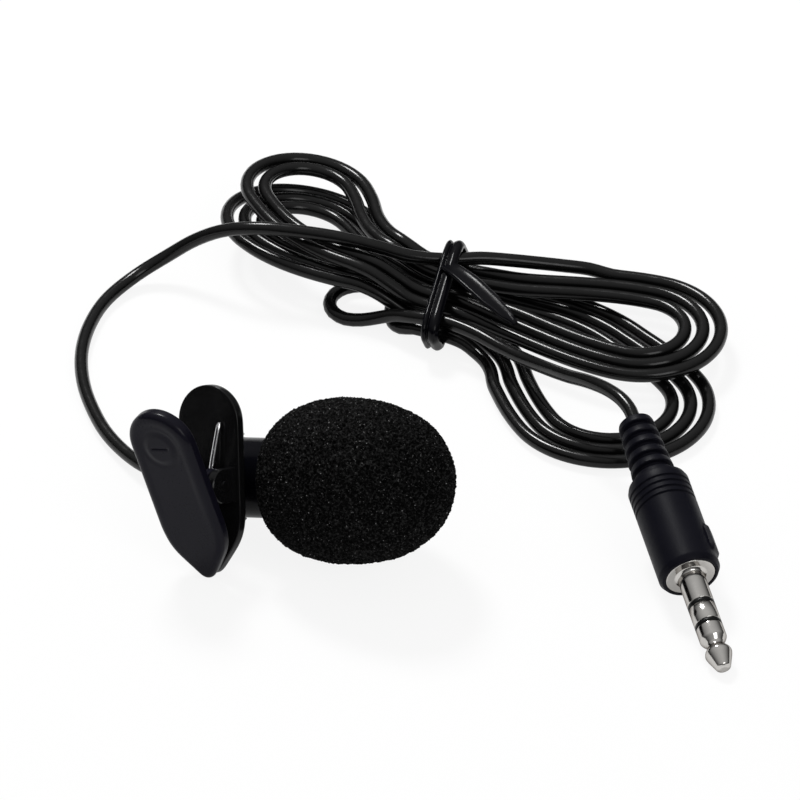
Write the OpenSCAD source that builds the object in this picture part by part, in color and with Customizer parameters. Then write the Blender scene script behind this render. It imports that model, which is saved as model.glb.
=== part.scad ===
// Clip-on lavalier microphone: foam windscreen on a round capsule barrel, spring
// clip, thin cord folded into a hank with a twist tie, and a 3.5 mm jack plug.
// Millimetres, +Z up, standing on z = 0 with the microphone head centred on X and Y.

/* [Head placement] */
// Place of the hinge pin's centre on the table
head_at = [-12.07, -1.93, 11.37]; // [-40:0.01:40]
// Turn of the head about X, Y and Z, in degrees
head_turn = [-26, -18.5, -30]; // [-90:0.5:90]

/* [Clip jaws] */
// Width of a jaw
jaw_w = 9.3; // [8:0.1:12]
// Thickness of a jaw
jaw_t = 1.8; // [1.2:0.1:2.4]
// Width of the bevel round a jaw's outer face
jaw_bevel = 0.8; // [0.3:0.1:1]
// Height of the rear jaw's finger tab above the hinge pin
tab_h = 12.5; // [10:0.1:16]
// Height of the front jaw's finger tab above the hinge pin
front_tab_h = 13.2; // [10:0.1:16]
// Depth of the gripping tip below the hinge pin
tip_depth = 11.5; // [9:0.1:15]
// Radius of the blunt tip
tip_r = 1.2; // [1:0.1:2.6]
// Height above the tip where the taper starts
taper_h = 7.7; // [6:0.1:8]
// Distance from the hinge pin's centre to a jaw's inner face
jaw_gap = 2.6; // [2.5:0.1:3.5]
// Opening angle between the jaws with the tips closed
jaw_angle = 28; // [26:1:34]
// Gap left between the closed tips
tip_clearance = 0.12; // [0.05:0.01:0.3]
// Depth of a gripping groove
tooth_depth = 0.3; // [0.1:0.05:0.5]
// Distance between gripping grooves
tooth_pitch = 1.0; // [0.8:0.1:1.5]
// Number of gripping grooves
tooth_count = 3; // [1:1:4]

/* [Thumb mark] */
// Radius of the plain ring pressed into the front jaw
mark_r = 2.2; // [1.5:0.1:2.6]
// Width of the ring and its bar
mark_w = 0.35; // [0.2:0.05:0.6]
// Depth of the ring and its bar
mark_depth = 0.25; // [0.1:0.05:0.5]
// Height of the ring's centre above the hinge pin
mark_h = 8.2; // [5:0.1:8.5]

/* [Hinge] */
// Radius of the hinge pin
pin_r = 0.65; // [0.5:0.05:0.9]
// Radial clearance of the pin in the front jaw's lugs
pin_clearance = 0.08; // [0.02:0.01:0.1]
// Radius of the lugs round the pin
lug_r = 2.2; // [1.6:0.1:2.4]
// Thickness of a lug
lug_t = 1.1; // [0.8:0.1:1.4]
// Inner face of a front lug, from the jaw's middle
front_lug_x = 1.75; // [1.6:0.05:2.2]
// Gap between neighbouring lugs
lug_clearance = 0.15; // [0.1:0.05:0.3]
// Length of pin that stands out of a rear lug
pin_nub = 0.35; // [0.1:0.05:0.6]

/* [Torsion spring] */
// Diameter of the spring wire
wire_d = 0.7; // [0.4:0.05:0.7]
// Mean radius of the coil round the pin
coil_r = 1.3; // [1.2:0.05:1.5]
// Distance between neighbouring turns
coil_pitch = 0.97; // [0.96:0.01:1.1]
// Whole turns of the coil
coil_turns = 2; // [2:1:2]
// Height of the spring's legs above the pin
leg_h = 7.8; // [6:0.1:9.5]
// Clearance between a leg's end and its jaw
leg_clearance = 0.03; // [0:0.01:0.2]

/* [Barrel] */
// Radius of the microphone barrel
barrel_r = 5.1; // [4.8:0.1:6]
// Wall of the barrel
barrel_wall = 0.8; // [0.6:0.1:1.2]
// Rear end of the barrel, behind the jaw's middle
barrel_back = 5.5; // [5:0.1:7]
// Length of the barrel with its back cap
barrel_len = 24.5; // [23:0.1:30]
// Thickness of the back cap's flange
cap_t = 1.2; // [0.8:0.1:2]
// Depth of the back cap's spigot in the barrel
cap_spigot = 1.6; // [1:0.1:2.5]
// Distance between the rear jaw's outer face and the barrel
barrel_standoff = 1.8; // [0.6:0.1:2.4]
// Height of the barrel's axis above the hinge pin
barrel_h = 0; // [0:0.1:2]
// Radius of the fillets at the barrel's ends
barrel_edge = 0.5; // [0.2:0.1:0.7]

/* [Cradle] */
// Wall of the snap ring that holds the barrel
cradle_wall = 0.7; // [0.7:0.1:1.2]
// Radial clearance of the barrel in the snap ring
cradle_clearance = 0.08; // [0.02:0.01:0.1]
// Start of the snap ring along the barrel
cradle_from = -4.0; // [-4.5:0.1:0]
// Length of the snap ring
cradle_len = 2.4; // [2:0.1:7]
// How far the ring's lips reach past the barrel's axis
cradle_reach = 1.2; // [1:0.1:3]

/* [Cord grommet] */
// Length of the grommet outside the barrel
grommet_len = 4; // [3:0.1:6]
// Radius of the grommet at the barrel
grommet_r = 2.5; // [2:0.1:3]
// Radius of the grommet at its end
grommet_end_r = 1.6; // [1.3:0.1:2]
// Radius of the grommet's neck in the back cap
neck_r = 1.8; // [1.4:0.1:2]
// Thickness of the grommet's flange inside the barrel
flange_t = 0.8; // [0.5:0.1:1.5]
// Length of cord held inside the barrel
tail_len = 7; // [6:0.1:9]
// Wall of the metal crimp round the cord
crimp_wall = 0.6; // [0.3:0.1:1]
// Length of the crimp
crimp_len = 1.8; // [1:0.1:2.5]

/* [Capsule] */
// Radius of the electret capsule
capsule_r = 3; // [2.5:0.1:3.5]
// Length of the electret capsule
capsule_len = 5; // [3:0.1:6]
// Radius of the sound hole in the capsule's face
sound_r = 0.9; // [0.5:0.1:1.2]
// Depth of the sound hole
sound_depth = 0.8; // [0.4:0.1:1.2]
// Thickness of the circuit board
board_t = 0.6; // [0.4:0.1:1]
// Distance of a solder pad from the board's centre
pad_x = 0.9; // [0.8:0.1:1.2]
// Radius of a solder joint
solder_r = 0.45; // [0.3:0.05:0.6]
// Radius of a wire core of the cord
core_r = 0.3; // [0.2:0.05:0.35]
// Distance of a wire core from the cord's axis
core_x = 0.45; // [0.4:0.05:0.5]
// Thickness of the grille
grille_t = 0.8; // [0.6:0.1:1.2]
// Radius of a hole in the grille
grille_hole_r = 0.45; // [0.3:0.05:0.6]
// Thickness of the mesh behind the grille
mesh_t = 0.25; // [0.2:0.05:0.5]
// Thickness of the felt in front of the capsule
felt_t = 0.6; // [0.4:0.1:1]

/* [Windscreen] */
// Length of the foam windscreen
foam_len = 22.9; // [22:0.1:30]
// Largest radius of the foam
foam_r = 10.4; // [9:0.1:13]
// Start of the foam, from the jaw's middle
foam_from = 6.5; // [5.2:0.1:8]
// Share of the length where the foam is widest
foam_wide = 0.37; // [0.3:0.01:0.55]
// Length of the rear half's ellipse over its distance to the widest place
foam_rear = 1.38; // [1.15:0.01:1.5]
// Bluntness of the foam's ends, 2 for an ellipse
foam_blunt = 2.3; // [2:0.05:2.6]
// Radial clearance of the foam on the barrel
foam_clearance = 0.05; // [0.02:0.01:0.1]
// Foam left in front of the barrel's end
foam_air = 0.3; // [0.1:0.1:1]

/* [Cord] */
// Diameter of the cord
cord_d = 1.8; // [1.5:0.1:1.8]

/* [Hank] */
// Waist of the hank, on the table
hank_at = [19.9, 51.7]; // [-60:0.1:60]
// Turn of the hank's long axis from +X
hank_turn = -21; // [-30:1:-10]
// Turn of the spiral where the hank starts
hank_from = 0.1; // [0.1:0.01:0.12]
// Turn of the spiral where the hank ends
hank_to = 5.5; // [5.4:0.01:5.5]
// Turn of the spiral where it reverses and climbs a layer
hank_back = 2.5; // [2.5:0.5:2.5]
// Turns that the climb takes on each side
hank_climb = 0.055; // [0.05:0.005:0.06]
// Half width of the outermost loop at the waist
waist_w = 6.5; // [6.5:0.1:7]
// Distance between neighbouring runs at the waist
waist_step = 2.4; // [2.4:0.05:2.5]
// Distance between neighbouring loops at the folds
fold_step = 2.38; // [2.38:0.01:2.45]
// Fold radius of the outermost loop on the right, top and bottom layer
fold_right = [11.3, 12.3]; // [11:0.1:14]
// Fold radius of the outermost loop on the left, top and bottom layer
fold_left = [10.1, 11.1]; // [10:0.1:14]
// Length of a run to the right of the waist, top and bottom layer
run_right = [26.5, 31.5]; // [25:0.5:35]
// Length of a run to the left of the waist, top and bottom layer
run_left = [27, 24]; // [23:0.5:30]
// Angle by which the right folds fan out, top and bottom layer
fan_right = [0.5, -42]; // [-45:0.5:5]
// Angle by which the left folds fan out, top and bottom layer
fan_left = [-48, -33]; // [-50:1:-20]
// Angle by which the left folds roll up, top and bottom layer
roll_left = [9, 12]; // [0:1:15]
// Height of the runs at the waist, top and bottom layer
waist_z = [4.4, 2]; // [1:0.1:6]
// Height of the right folds, top and bottom layer
right_z = [4, 1.1]; // [1:0.1:6]
// Height of the left folds, top and bottom layer
left_z = [7, 4.2]; // [3:0.1:9]

/* [Twist tie] */
// Width of the tie's band
tie_w = 2.4; // [2:0.1:3]
// Thickness of the tie's band
tie_t = 0.7; // [0.5:0.05:0.8]
// Thickness of the ridge over the tie's wire
tie_ridge = 0.25; // [0.1:0.05:0.4]
// Width of the ridge
tie_ridge_w = 0.9; // [0.6:0.1:1.2]
// Clearance between the band and the cord
tie_clearance = 0.15; // [0.1:0.05:0.25]
// Turn of the tie from square across the hank
tie_skew = 8; // [0:1:15]
// Stretch of the band across the hank
tie_spread = 1.07; // [1:0.01:1.1]

/* [Plug placement] */
// Place of the plug's tip on the table
plug_at = [53.6, -26.4, 1.1]; // [-90:0.1:90]
// Compass angle from the plug's tip to its rear end
plug_heading = 105.3; // [90:0.1:120]
// Rise of the plug from its tip to its rear end
plug_rise = 14.7; // [14:0.1:15]

/* [Plug contacts] */
// Radius of the plug's contacts
jack_r = 1.75; // [1.75:0.01:1.75]
// Length of the plug's shaft in front of its collar
shaft_len = 15; // [14:0.1:15]
// Length of the tip contact
tip_len = 6.6; // [6:0.1:7]
// Length of the ring contact
ring_len = 2.6; // [2:0.1:3]
// Width of an insulator ring
insulator_w = 0.6; // [0.4:0.1:0.8]
// Radius of the tip's rod
rod_r = 0.45; // [0.35:0.05:0.5]
// Wall of each nested tube inside the shaft
tube_wall = 0.3; // [0.25:0.01:0.3]
// Radius of the collar
collar_r = 3.2; // [2.8:0.1:3.4]
// Thickness of the collar
collar_t = 0.8; // [0.6:0.1:1]

/* [Plug body] */
// Radius of the moulded body
body_r = 4; // [3.9:0.1:5]
// Length of the moulded body
body_len = 15.3; // [15:0.1:18]
// Rounding of the body's ends
body_edge = 0.7; // [0.4:0.1:0.8]
// Number of fine rings round the body's rear
ring_count = 4; // [2:1:5]
// Distance between the fine rings
ring_pitch = 0.9; // [0.8:0.1:1.2]
// Depth of a fine ring
ring_depth = 0.2; // [0.1:0.05:0.3]
// Height of the grip pad on the body
pad_h = 0.35; // [0.2:0.05:0.5]
// Length of the grip pad
pad_len = 4.4; // [3:0.1:5]
// Distance of the grip pad from the body's rounded end
pad_from = 1.1; // [0:0.1:2]
// Width of the grip pad
pad_w = 2.6; // [2:0.1:3]
// Turn of the grip pad round the body
pad_turn = 250; // [0:1:360]
// Radius of the inner mould
mould_r = 3; // [2.8:0.1:3.1]
// Radius of the space inside the inner mould
mould_bore_r = 2.2; // [2:0.1:2.4]
// Length of the inner mould
mould_len = 11; // [10:0.1:11.2]

/* [Plug strain relief] */
// Length of the strain relief behind the body
boot_len = 10.1; // [8:0.1:14]
// Radius of the strain relief at the body
boot_r = 2.9; // [2.5:0.1:3.4]
// Radius of the strain relief at its end
boot_end_r = 2.3; // [2.2:0.1:2.4]
// Number of ribs
rib_count = 5; // [3:1:6]
// Depth of the grooves between ribs
rib_depth = 0.3; // [0.2:0.05:0.3]
// Radius of the strain relief's neck through the body
boot_neck_r = 2.2; // [2.1:0.1:2.4]
// Thickness of the flange inside the body
boot_flange_t = 2; // [1:0.1:2]

/* [Hidden] */
$fn = 48;
eps = 0.01;
tube_sides = 8;
hank_sides = 6;
rings_per_loop = 24;
rings_per_curl = 8;

// Shape of the hank: a turn is run, fold, run on the right and the same on the left
run_share = 0.125;
fold_share = 0.25;
waist_flat = 5;
fan_len = [15.5, 18];
lift_from = 2;
lift_len = 8;
left_hold = 0.2;

cord_r = cord_d / 2;
wire_r = wire_d / 2;
jaw_top_r = jaw_w / 2;

// Outline of a jaw's taper: shares of its half width and of the taper's height
taper_shape = [[1, 1], [0.97, 0.84], [0.915, 0.69], [0.82, 0.56], [0.7, 0.45], [0.57, 0.35],
    [0.42, 0.25]];
corner_r = 0.3;

// How far the spring's legs lean outward, rear and front
leg_splay = [0.9, 0.3];

// Barrel, capsule and grille places along the barrel's axis
barrel_y = jaw_gap + jaw_t + barrel_standoff + barrel_r;
barrel_bore_r = barrel_r - barrel_wall;
barrel_front = barrel_len - barrel_back;
cap_front = -barrel_back + cap_t;
grille_from = barrel_front - grille_t;
mesh_from = grille_from - mesh_t;
felt_from = mesh_from - felt_t;
capsule_from = felt_from - capsule_len;
board_from = capsule_from - board_t;
tail_from = -barrel_back - grommet_len;
tail_to = tail_from + grommet_len + tail_len;
flange_from = cap_front + cap_spigot;
rear_lug_x = front_lug_x + lug_t + lug_clearance;
pin_half = rear_lug_x + lug_t + pin_nub;

// Plug places, measured from the tip towards the rear
ring_from = tip_len + insulator_w;
sleeve_from = ring_from + ring_len + insulator_w;
sleeve_end = shaft_len + collar_t + 1.7;
ring_tube_r = rod_r + tube_wall;
ring_sleeve_r = ring_tube_r + tube_wall;
sleeve_bore_r = ring_sleeve_r + tube_wall;
sleeve_root_r = mould_bore_r - 0.1;
ring_washer_r = ring_sleeve_r + 0.35;
tube_step = 0.9;
body_end = shaft_len + body_len;
boot_end = body_end + boot_len;
mould_from = shaft_len + collar_t;
cavity_end = mould_from + mould_len + boot_flange_t + 0.5;
clamp_from = mould_from + mould_len - 1.9;
plug_tail_from = clamp_from - 0.6;
pad_root = 0.6;
core_gap = 0.05;

// Points of the free cord from the grommet to the hank, chosen by hand
mic_lead_points = [
    [-17.2, 12.9, 2.4], [-19.6, 15.2, 1.9], [-21.9, 18.5, 1.4], [-24.3, 22.7, 1.2],
    [-26.1, 27.4, 1.05], [-27.8, 34.1, 1], [-28.3, 41.1, 1], [-27.4, 47.6, 1],
    [-25.3, 53.4, 1], [-21.6, 57.8, 1.7], [-17.6, 59.3, 3.7], [-13.6, 58.9, 6.7],
    [-9.6, 57.5, 9.2], [-5.1, 56.2, 10.4], [0.4, 55.5, 10.3], [5.4, 54.8, 9.85],
    [10.6, 54, 8.9], [14.9, 53.3, 7.9], [19.9, 53.5, 7.25], [24, 54.1, 7.05],
    [27.7, 54.6, 6.4], [31.5, 55.1, 5.6], [35.2, 55.4, 4.9], [38.4, 55.4, 4.4]
];

// Points of the free cord from the hank to the plug, chosen by hand
plug_lead_points = [
    [13.5, 46.4, 1.3], [12.5, 48, 0.95], [12.15, 50.1, 0.93], [12.3, 52.4, 0.93],
    [11.75, 54.45, 0.93], [10.25, 55.95, 0.93], [8.2, 56.5, 0.93], [6.15, 55.95, 0.93],
    [4.65, 54.45, 0.93], [4.1, 52.4, 0.93], [4.65, 50.35, 0.93], [6.2, 48.9, 0.93],
    [8.4, 48.15, 1.3], [10.4, 47.5, 2.1], [12.5, 46.5, 3.2], [14.8, 44.8, 4.2],
    [17.1, 43.6, 4.75], [19.5, 42.6, 4.9], [23.1, 40.2, 4.9], [26.1, 37.2, 5],
    [29.3, 33.5, 5.6], [32.1, 29.5, 7], [34.9, 24.9, 9], [37.7, 20.9, 10.9],
    [40, 17.8, 11.9], [41.7, 15.3, 12.15]
];

// Centres of the outermost cords inside the twist tie, across the waist and up:
// the hank's runs, then the two free leads
tie_stack = [[-waist_w - waist_step / 2, waist_z[1]], [waist_w + 0.3, waist_z[1]],
    [waist_w - waist_step + 0.3, waist_z[0] + 0.1],
    [1.2, 7.25], [2.8, 7.25], [-9.6, 4.5], [-8.7, 4.9]];

// Centre line of the twist tie's free tail, chosen by hand
tail_points = [
    [19.4, 50.6, 8.3], [20.6, 48.7, 8.85], [22.6, 46, 8.9], [24.7, 43.2, 8.5],
    [26.7, 40.7, 8], [28.4, 38.5, 7.5]
];
// Half width of the tail at each of those points
tail_half_w = [1, 1.2, 1.35, 1.3, 1, 0.45];

// ---- Small functions ----

function unit(v) = v / norm(v);
function mix(pair, f) = pair[0] + (pair[1] - pair[0]) * f;
function clamp01(x) = min(1, max(0, x));
function ease(x) = let (c = clamp01(x)) c * c * (3 - 2 * c);

// Rotation of a point by angles about X, then Y, then Z, as rotate() does
function turned(p, a) = let (
    x = [p.x, p.y * cos(a.x) - p.z * sin(a.x), p.y * sin(a.x) + p.z * cos(a.x)],
    y = [x.x * cos(a.y) + x.z * sin(a.y), x.y, -x.x * sin(a.y) + x.z * cos(a.y)]
) [y.x * cos(a.z) - y.y * sin(a.z), y.x * sin(a.z) + y.y * cos(a.z), y.z];

function on_head_point(p) = turned(p, head_turn) + head_at;
function on_plug_point(s) = turned([0, 0, s], [0, 90 - plug_rise, plug_heading]) + plug_at;

// ---- Swept tubes ----

// Direction of travel at each point of a line
function tangents(p) = let (n = len(p) - 1)
    [for (i = [0:n]) unit(p[min(i + 1, n)] - p[max(i - 1, 0)])];

// A direction square to the line at each point, carried along without twisting
function carried(t, first) = [
    for (i = 0, v = unit(first - (first * t[0]) * t[0]); i < len(t);
        i = i + 1, v = i < len(t) ? unit(v - (v * t[i]) * t[i]) : v) v];

// Half turn of a tube's faces from one ring to the next, as triangles
function side_faces(rings, sides) = [
    for (i = [0:rings - 2], j = [0:sides - 1])
        let (a = i * sides + j, b = i * sides + (j + 1) % sides)
            for (f = [[a, b + sides, b], [a, a + sides, b + sides]]) f];

function end_faces(rings, sides) = let (last = (rings - 1) * sides) [
    for (j = [1:sides - 2]) for (f = [[0, j, j + 1], [last, last + j + 1, last + j]]) f];

// A closed tube of elliptic section along the points p
module swept(p, half_w, half_t, sides, first) {
    t = tangents(p);
    v = carried(t, first);
    rings = [for (i = [0:len(p) - 1], j = [0:sides - 1])
        let (a = 360 * (j + 0.5) / sides)
            p[i] + v[i] * half_w[i] * cos(a) + cross(t[i], v[i]) * half_t[i] * sin(a)];
    polyhedron(rings, concat(side_faces(len(p), sides), end_faces(len(p), sides)), 4);
}

module tube(p, r, sides, first = [0, 0, 1]) {
    radii = [for (i = p) r];
    swept(p, radii, radii, sides, first);
}

// ---- The hank's line ----

// Inward offset count of turn t: the spiral runs in, climbs down a layer and runs out
function offset_count(t) = t <= hank_back ? t : 2 * hank_back - t;

// Point of turn t before the folds fan out: along the hank, across it, layer share
function flat_point(t) = let (
    k = offset_count(t),
    phase = t - floor(t),
    layer = ease((t - hank_back + hank_climb) / (2 * hank_climb)),
    w = waist_w - k * waist_step,
    right = phase < 0.5,
    fold = (right ? mix(fold_right, layer) : mix(fold_left, layer)) - k * fold_step,
    run = right ? mix(run_right, layer) : mix(run_left, layer),
    side = right ? 1 : -1,
    local = right ? phase : phase - 0.5,
    going = local < run_share,
    coming = local > run_share + fold_share,
    q = going ? local / run_share : coming ? (0.5 - local) / run_share : 1,
    hold = right ? 0 : left_hold,
    out = w + (fold - w) * ease((q - hold) / (1 - hold)),
    turn = clamp01((local - run_share) / fold_share) * 180,
    across = going ? out : coming ? -out : fold * cos(turn)
) [side * (q * run + (going || coming ? 0 : fold * sin(turn))), side * across, layer];

// Bend of the flat hank's point [s, y] by angle a, on an arc past the waist
function fanned(s, y, a) = let (
    u = abs(s), fan = fan_len[s < 0 ? 1 : 0],
    along = min(max(u - waist_flat, 0), fan), v = a * along / fan,
    arc_r = fan / (a * PI / 180), rest = max(0, u - waist_flat - fan),
    px = min(u, waist_flat) + arc_r * sin(v) + rest * cos(v),
    py = arc_r * (1 - cos(v)) + rest * sin(v)
) [sign(s) * (px - y * sin(v)), py + y * cos(v)];

function hank_point(t) = let (
    p = flat_point(t),
    right = t - floor(t) < 0.5,
    f = ease((abs(p[0]) - lift_from) / lift_len),
    fan = right ? mix(fan_right, p[2]) : -mix(fan_left, p[2]),
    roll = right ? 0 : mix(roll_left, p[2]) * f,
    level = mix(waist_z, p[2]),
    end_z = right ? mix(right_z, p[2]) : mix(left_z, p[2]),
    xy = fanned(p[0], p[1] * cos(roll), fan),
    c = cos(hank_turn), s = sin(hank_turn)
) [hank_at.x + xy[0] * c - xy[1] * s, hank_at.y + xy[0] * s + xy[1] * c,
    level + (end_z - level) * f - p[1] * sin(roll)];

function hank_line(per_loop) = let (n = round((hank_to - hank_from) * per_loop))
    [for (i = [0:n]) hank_point(hank_from + (hank_to - hank_from) * i / n)];

// Least distance between points of a line that are at least skip points apart
function least_gap(p, skip) =
    min([for (i = [0:len(p) - 1 - skip], j = [i + skip:len(p) - 1]) norm(p[i] - p[j])]);

function line_len(p) = len(p) < 2 ? 0 : [for (i = [1:len(p) - 1]) norm(p[i] - p[i - 1])]
    * [for (i = [1:len(p) - 1]) 1];

hank_path = hank_line(rings_per_loop);
hank_fine = hank_line(4 * rings_per_loop);
hank_in = unit(hank_fine[1] - hank_fine[0]);
hank_out = unit(hank_fine[len(hank_fine) - 1] - hank_fine[len(hank_fine) - 2]);
hank_start = hank_path[0];
hank_end = hank_path[len(hank_path) - 1];

// Straight stretches of the hank's and leads' ends
end_run = 2;
hank_tube = concat([hank_start, hank_start + hank_in * eps],
    [for (i = [1:len(hank_path) - 2]) hank_path[i]], [hank_end - hank_out * eps, hank_end]);

grommet_end = on_head_point([tail_from, barrel_y, barrel_h]);
grommet_out = turned([-1, 0, 0], head_turn);
boot_tip = on_plug_point(boot_end);
boot_out = unit(boot_tip - on_plug_point(0));

mic_lead_path = concat([grommet_end, grommet_end + grommet_out * end_run], mic_lead_points,
    [hank_start - hank_in * end_run, hank_start]);
plug_lead_path = concat([hank_end, hank_end + hank_out * end_run], plug_lead_points,
    [boot_tip + boot_out * end_run, boot_tip]);

// ---- Places ----

module on_head() { translate(head_at) rotate(head_turn) children(); }
module on_barrel() { on_head() translate([0, barrel_y, barrel_h]) rotate([0, 90, 0]) children(); }
module on_plug() { translate(plug_at) rotate([0, 90 - plug_rise, plug_heading]) children(); }
module across_x(x) { translate([x, 0, 0]) rotate([0, 90, 0]) children(); }

// A plain tube along Z, from z = from
module ring(from, length, outer, inner) {
    translate([0, 0, from]) difference() {
        cylinder(r = outer, h = length);
        if (inner > 0) translate([0, 0, -1]) cylinder(r = inner, h = length + 2);
    }
}

// ---- Clip ----

module jaw_outline(top) {
    hull() {
        translate([0, top - jaw_top_r]) circle(r = jaw_top_r);
        for (side = [-1, 1], p = taper_shape)
            translate([side * (jaw_top_r * p[0] - corner_r), taper_h * p[1] - tip_depth])
                circle(r = corner_r);
        translate([0, tip_r - tip_depth]) circle(r = tip_r);
    }
}

// A jaw with its inner face on the plane y = 0 and its outer face at y = jaw_t
module jaw_leaf(top) {
    rotate([90, 0, 0]) hull() {
        translate([0, 0, jaw_bevel - jaw_t]) linear_extrude(jaw_t - jaw_bevel) jaw_outline(top);
        translate([0, 0, -jaw_t]) linear_extrude(eps) offset(delta = -jaw_bevel) jaw_outline(top);
    }
}

module lug(x) {
    across_x(x) cylinder(r = lug_r, h = lug_t);
    translate([x, 0, -lug_r]) cube([lug_t, jaw_gap + eps, 2 * lug_r]);
}

module grip_grooves() {
    for (i = [0:tooth_count - 1])
        translate([-jaw_w / 2, 0, tip_r / 2 - tip_depth + i * tooth_pitch])
            rotate([45, 0, 0]) cube([jaw_w, tooth_depth * 1.4, tooth_depth * 1.4], center = false);
}

module cradle_solid() {
    ring_r = barrel_r + cradle_clearance + cradle_wall;
    translate([cradle_from, barrel_y, barrel_h]) rotate([0, 90, 0]) cylinder(r = ring_r, h = cradle_len);
    translate([cradle_from, jaw_gap + jaw_t - 0.4, barrel_h - ring_r * 0.6])
        cube([cradle_len, barrel_standoff + 1, ring_r * 1.2]);
}

module cradle_cut() {
    translate([cradle_from - 1, barrel_y, barrel_h]) rotate([0, 90, 0])
        cylinder(r = barrel_r + cradle_clearance, h = cradle_len + 2);
    translate([cradle_from - 1, barrel_y + cradle_reach, barrel_h - 2 * barrel_r])
        cube([cradle_len + 2, 2 * barrel_r, 4 * barrel_r]);
}

module rear_jaw() {
    color([0.1, 0.1, 0.11]) on_head() difference() {
        union() {
            difference() {
                union() {
                    translate([0, jaw_gap, 0]) jaw_leaf(tab_h);
                    cradle_solid();
                }
                cradle_cut();
            }
            for (x = [rear_lug_x, -rear_lug_x - lug_t]) lug(x);
        }
        across_x(-jaw_w) cylinder(r = pin_r, h = 2 * jaw_w);
        translate([0, jaw_gap - tooth_depth, 0]) grip_grooves();
    }
}

module thumb_mark() {
    translate([0, -jaw_gap - jaw_t + mark_depth, mark_h]) rotate([90, 0, 0]) {
        ring(0, 1, mark_r + mark_w / 2, mark_r - mark_w / 2);
        translate([-mark_r * 0.6, -mark_w / 2, 0]) cube([mark_r * 1.2, mark_w, 1]);
    }
}

module front_jaw() {
    color([0.16, 0.16, 0.19]) on_head() difference() {
        rotate([jaw_angle, 0, 0]) difference() {
            union() {
                translate([0, -jaw_gap, 0]) mirror([0, 1, 0]) jaw_leaf(front_tab_h);
                for (x = [front_lug_x, -front_lug_x - lug_t]) mirror([0, 1, 0]) lug(x);
            }
            across_x(-jaw_w) cylinder(r = pin_r + pin_clearance, h = 2 * jaw_w);
            thumb_mark();
        }
        translate([-jaw_w, jaw_gap - tip_clearance, -2 * tip_depth])
            cube([2 * jaw_w, 2 * jaw_gap, 2 * tip_depth]);
    }
}

module hinge_pin() {
    color([0.35, 0.35, 0.37]) on_head() across_x(-pin_half) cylinder(r = pin_r, h = 2 * pin_half);
}

// Leg up the rear jaw, coil round the pin, leg up the front jaw
function spring_line() = let (
    sweep = 360 * coil_turns + 180 - jaw_angle,
    half = coil_pitch * sweep / 720,
    n = round(rings_per_curl * sweep / 360),
    reach = jaw_gap - wire_r - leg_clearance,
    front = function (y, z, x) turned([x, y, z], [jaw_angle, 0, 0])
) concat(
    [[half + leg_splay[0], reach, leg_h], [half, coil_r + 0.12, 1.6]],
    [for (i = [0:n]) let (a = -sweep * i / n)
        [half - 2 * half * i / n, coil_r * cos(a), coil_r * sin(a)]],
    [front(-coil_r - 0.12, 1.6, -half), front(-reach, leg_h, -half - leg_splay[1])]
);

module torsion_spring() {
    echo(spring_gap = least_gap(spring_line(), rings_per_curl - 1) - wire_d);
    color([0.8, 0.8, 0.82]) on_head() tube(spring_line(), wire_r, 6, [1, 0, 0]);
}

// ---- Microphone barrel and capsule ----

module mic_barrel() {
    color([0.07, 0.07, 0.08]) on_barrel() difference() {
        rotate_extrude() polygon([[barrel_bore_r, cap_front], [barrel_r, cap_front],
            [barrel_r, barrel_front - barrel_edge], [barrel_r - barrel_edge, barrel_front],
            [barrel_bore_r, barrel_front]]);
    }
}

module barrel_back_cap() {
    color([0.07, 0.07, 0.08]) on_barrel() rotate_extrude() polygon([
        [neck_r, -barrel_back], [barrel_r - barrel_edge, -barrel_back],
        [barrel_r, barrel_edge - barrel_back], [barrel_r, cap_front],
        [barrel_bore_r, cap_front], [barrel_bore_r, flange_from], [neck_r, flange_from]]);
}

module cord_grommet() {
    color([0.06, 0.06, 0.06]) on_barrel() rotate_extrude() polygon([
        [cord_r, tail_from], [grommet_end_r - 0.3, tail_from], [grommet_end_r, tail_from + 0.3],
        [grommet_r, -barrel_back - 0.6], [grommet_r, -barrel_back], [neck_r, -barrel_back],
        [neck_r, flange_from], [neck_r + 0.8, flange_from],
        [neck_r + 0.8, flange_from + flange_t], [cord_r, flange_from + flange_t]]);
}

module cord_tail() {
    color([0.05, 0.05, 0.05]) on_barrel() ring(tail_from, tail_to - tail_from, cord_r, 0);
}

module cord_crimp() {
    color([0.7, 0.68, 0.6]) on_barrel()
        ring(flange_from + flange_t, crimp_len, cord_r + crimp_wall, cord_r);
}

// A round rod between two points
module rod(a, b, r) {
    d = b - a;
    translate(a) rotate([0, acos(d.z / norm(d)), atan2(d.y, d.x)]) cylinder(r = r, h = norm(d));
}

module wire_cores() {
    color([0.75, 0.2, 0.15]) on_barrel() for (s = [-1, 1])
        rod([s * core_x, 0, tail_to + core_gap], [s * pad_x, 0, board_from - 0.4], core_r);
}

module solder_joints() {
    color([0.75, 0.76, 0.78]) on_barrel() for (s = [-1, 1]) translate([s * pad_x, 0, board_from])
        rotate([180, 0, 0]) difference() {
            cylinder(r1 = solder_r, r2 = core_r + 0.05, h = 0.7, $fn = 24);
            translate([0, 0, 0.4]) cylinder(r = core_r + 0.02, h = 1, $fn = 24);
        }
}

module capsule_board() {
    color([0.1, 0.4, 0.2]) on_barrel() ring(board_from, board_t, capsule_r - 0.3, 0);
}

module electret_capsule() {
    color([0.75, 0.76, 0.78]) on_barrel() difference() {
        ring(capsule_from, capsule_len, capsule_r, 0);
        translate([0, 0, felt_from - sound_depth]) cylinder(r = sound_r, h = 2);
    }
}

module capsule_ring() {
    color([0.12, 0.12, 0.12]) on_barrel()
        ring(capsule_from + 0.4, capsule_len - 0.4, barrel_bore_r, capsule_r);
}

module felt_disc() {
    color([0.25, 0.25, 0.25]) on_barrel() ring(felt_from, felt_t, barrel_bore_r - 0.1, 0);
}

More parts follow.
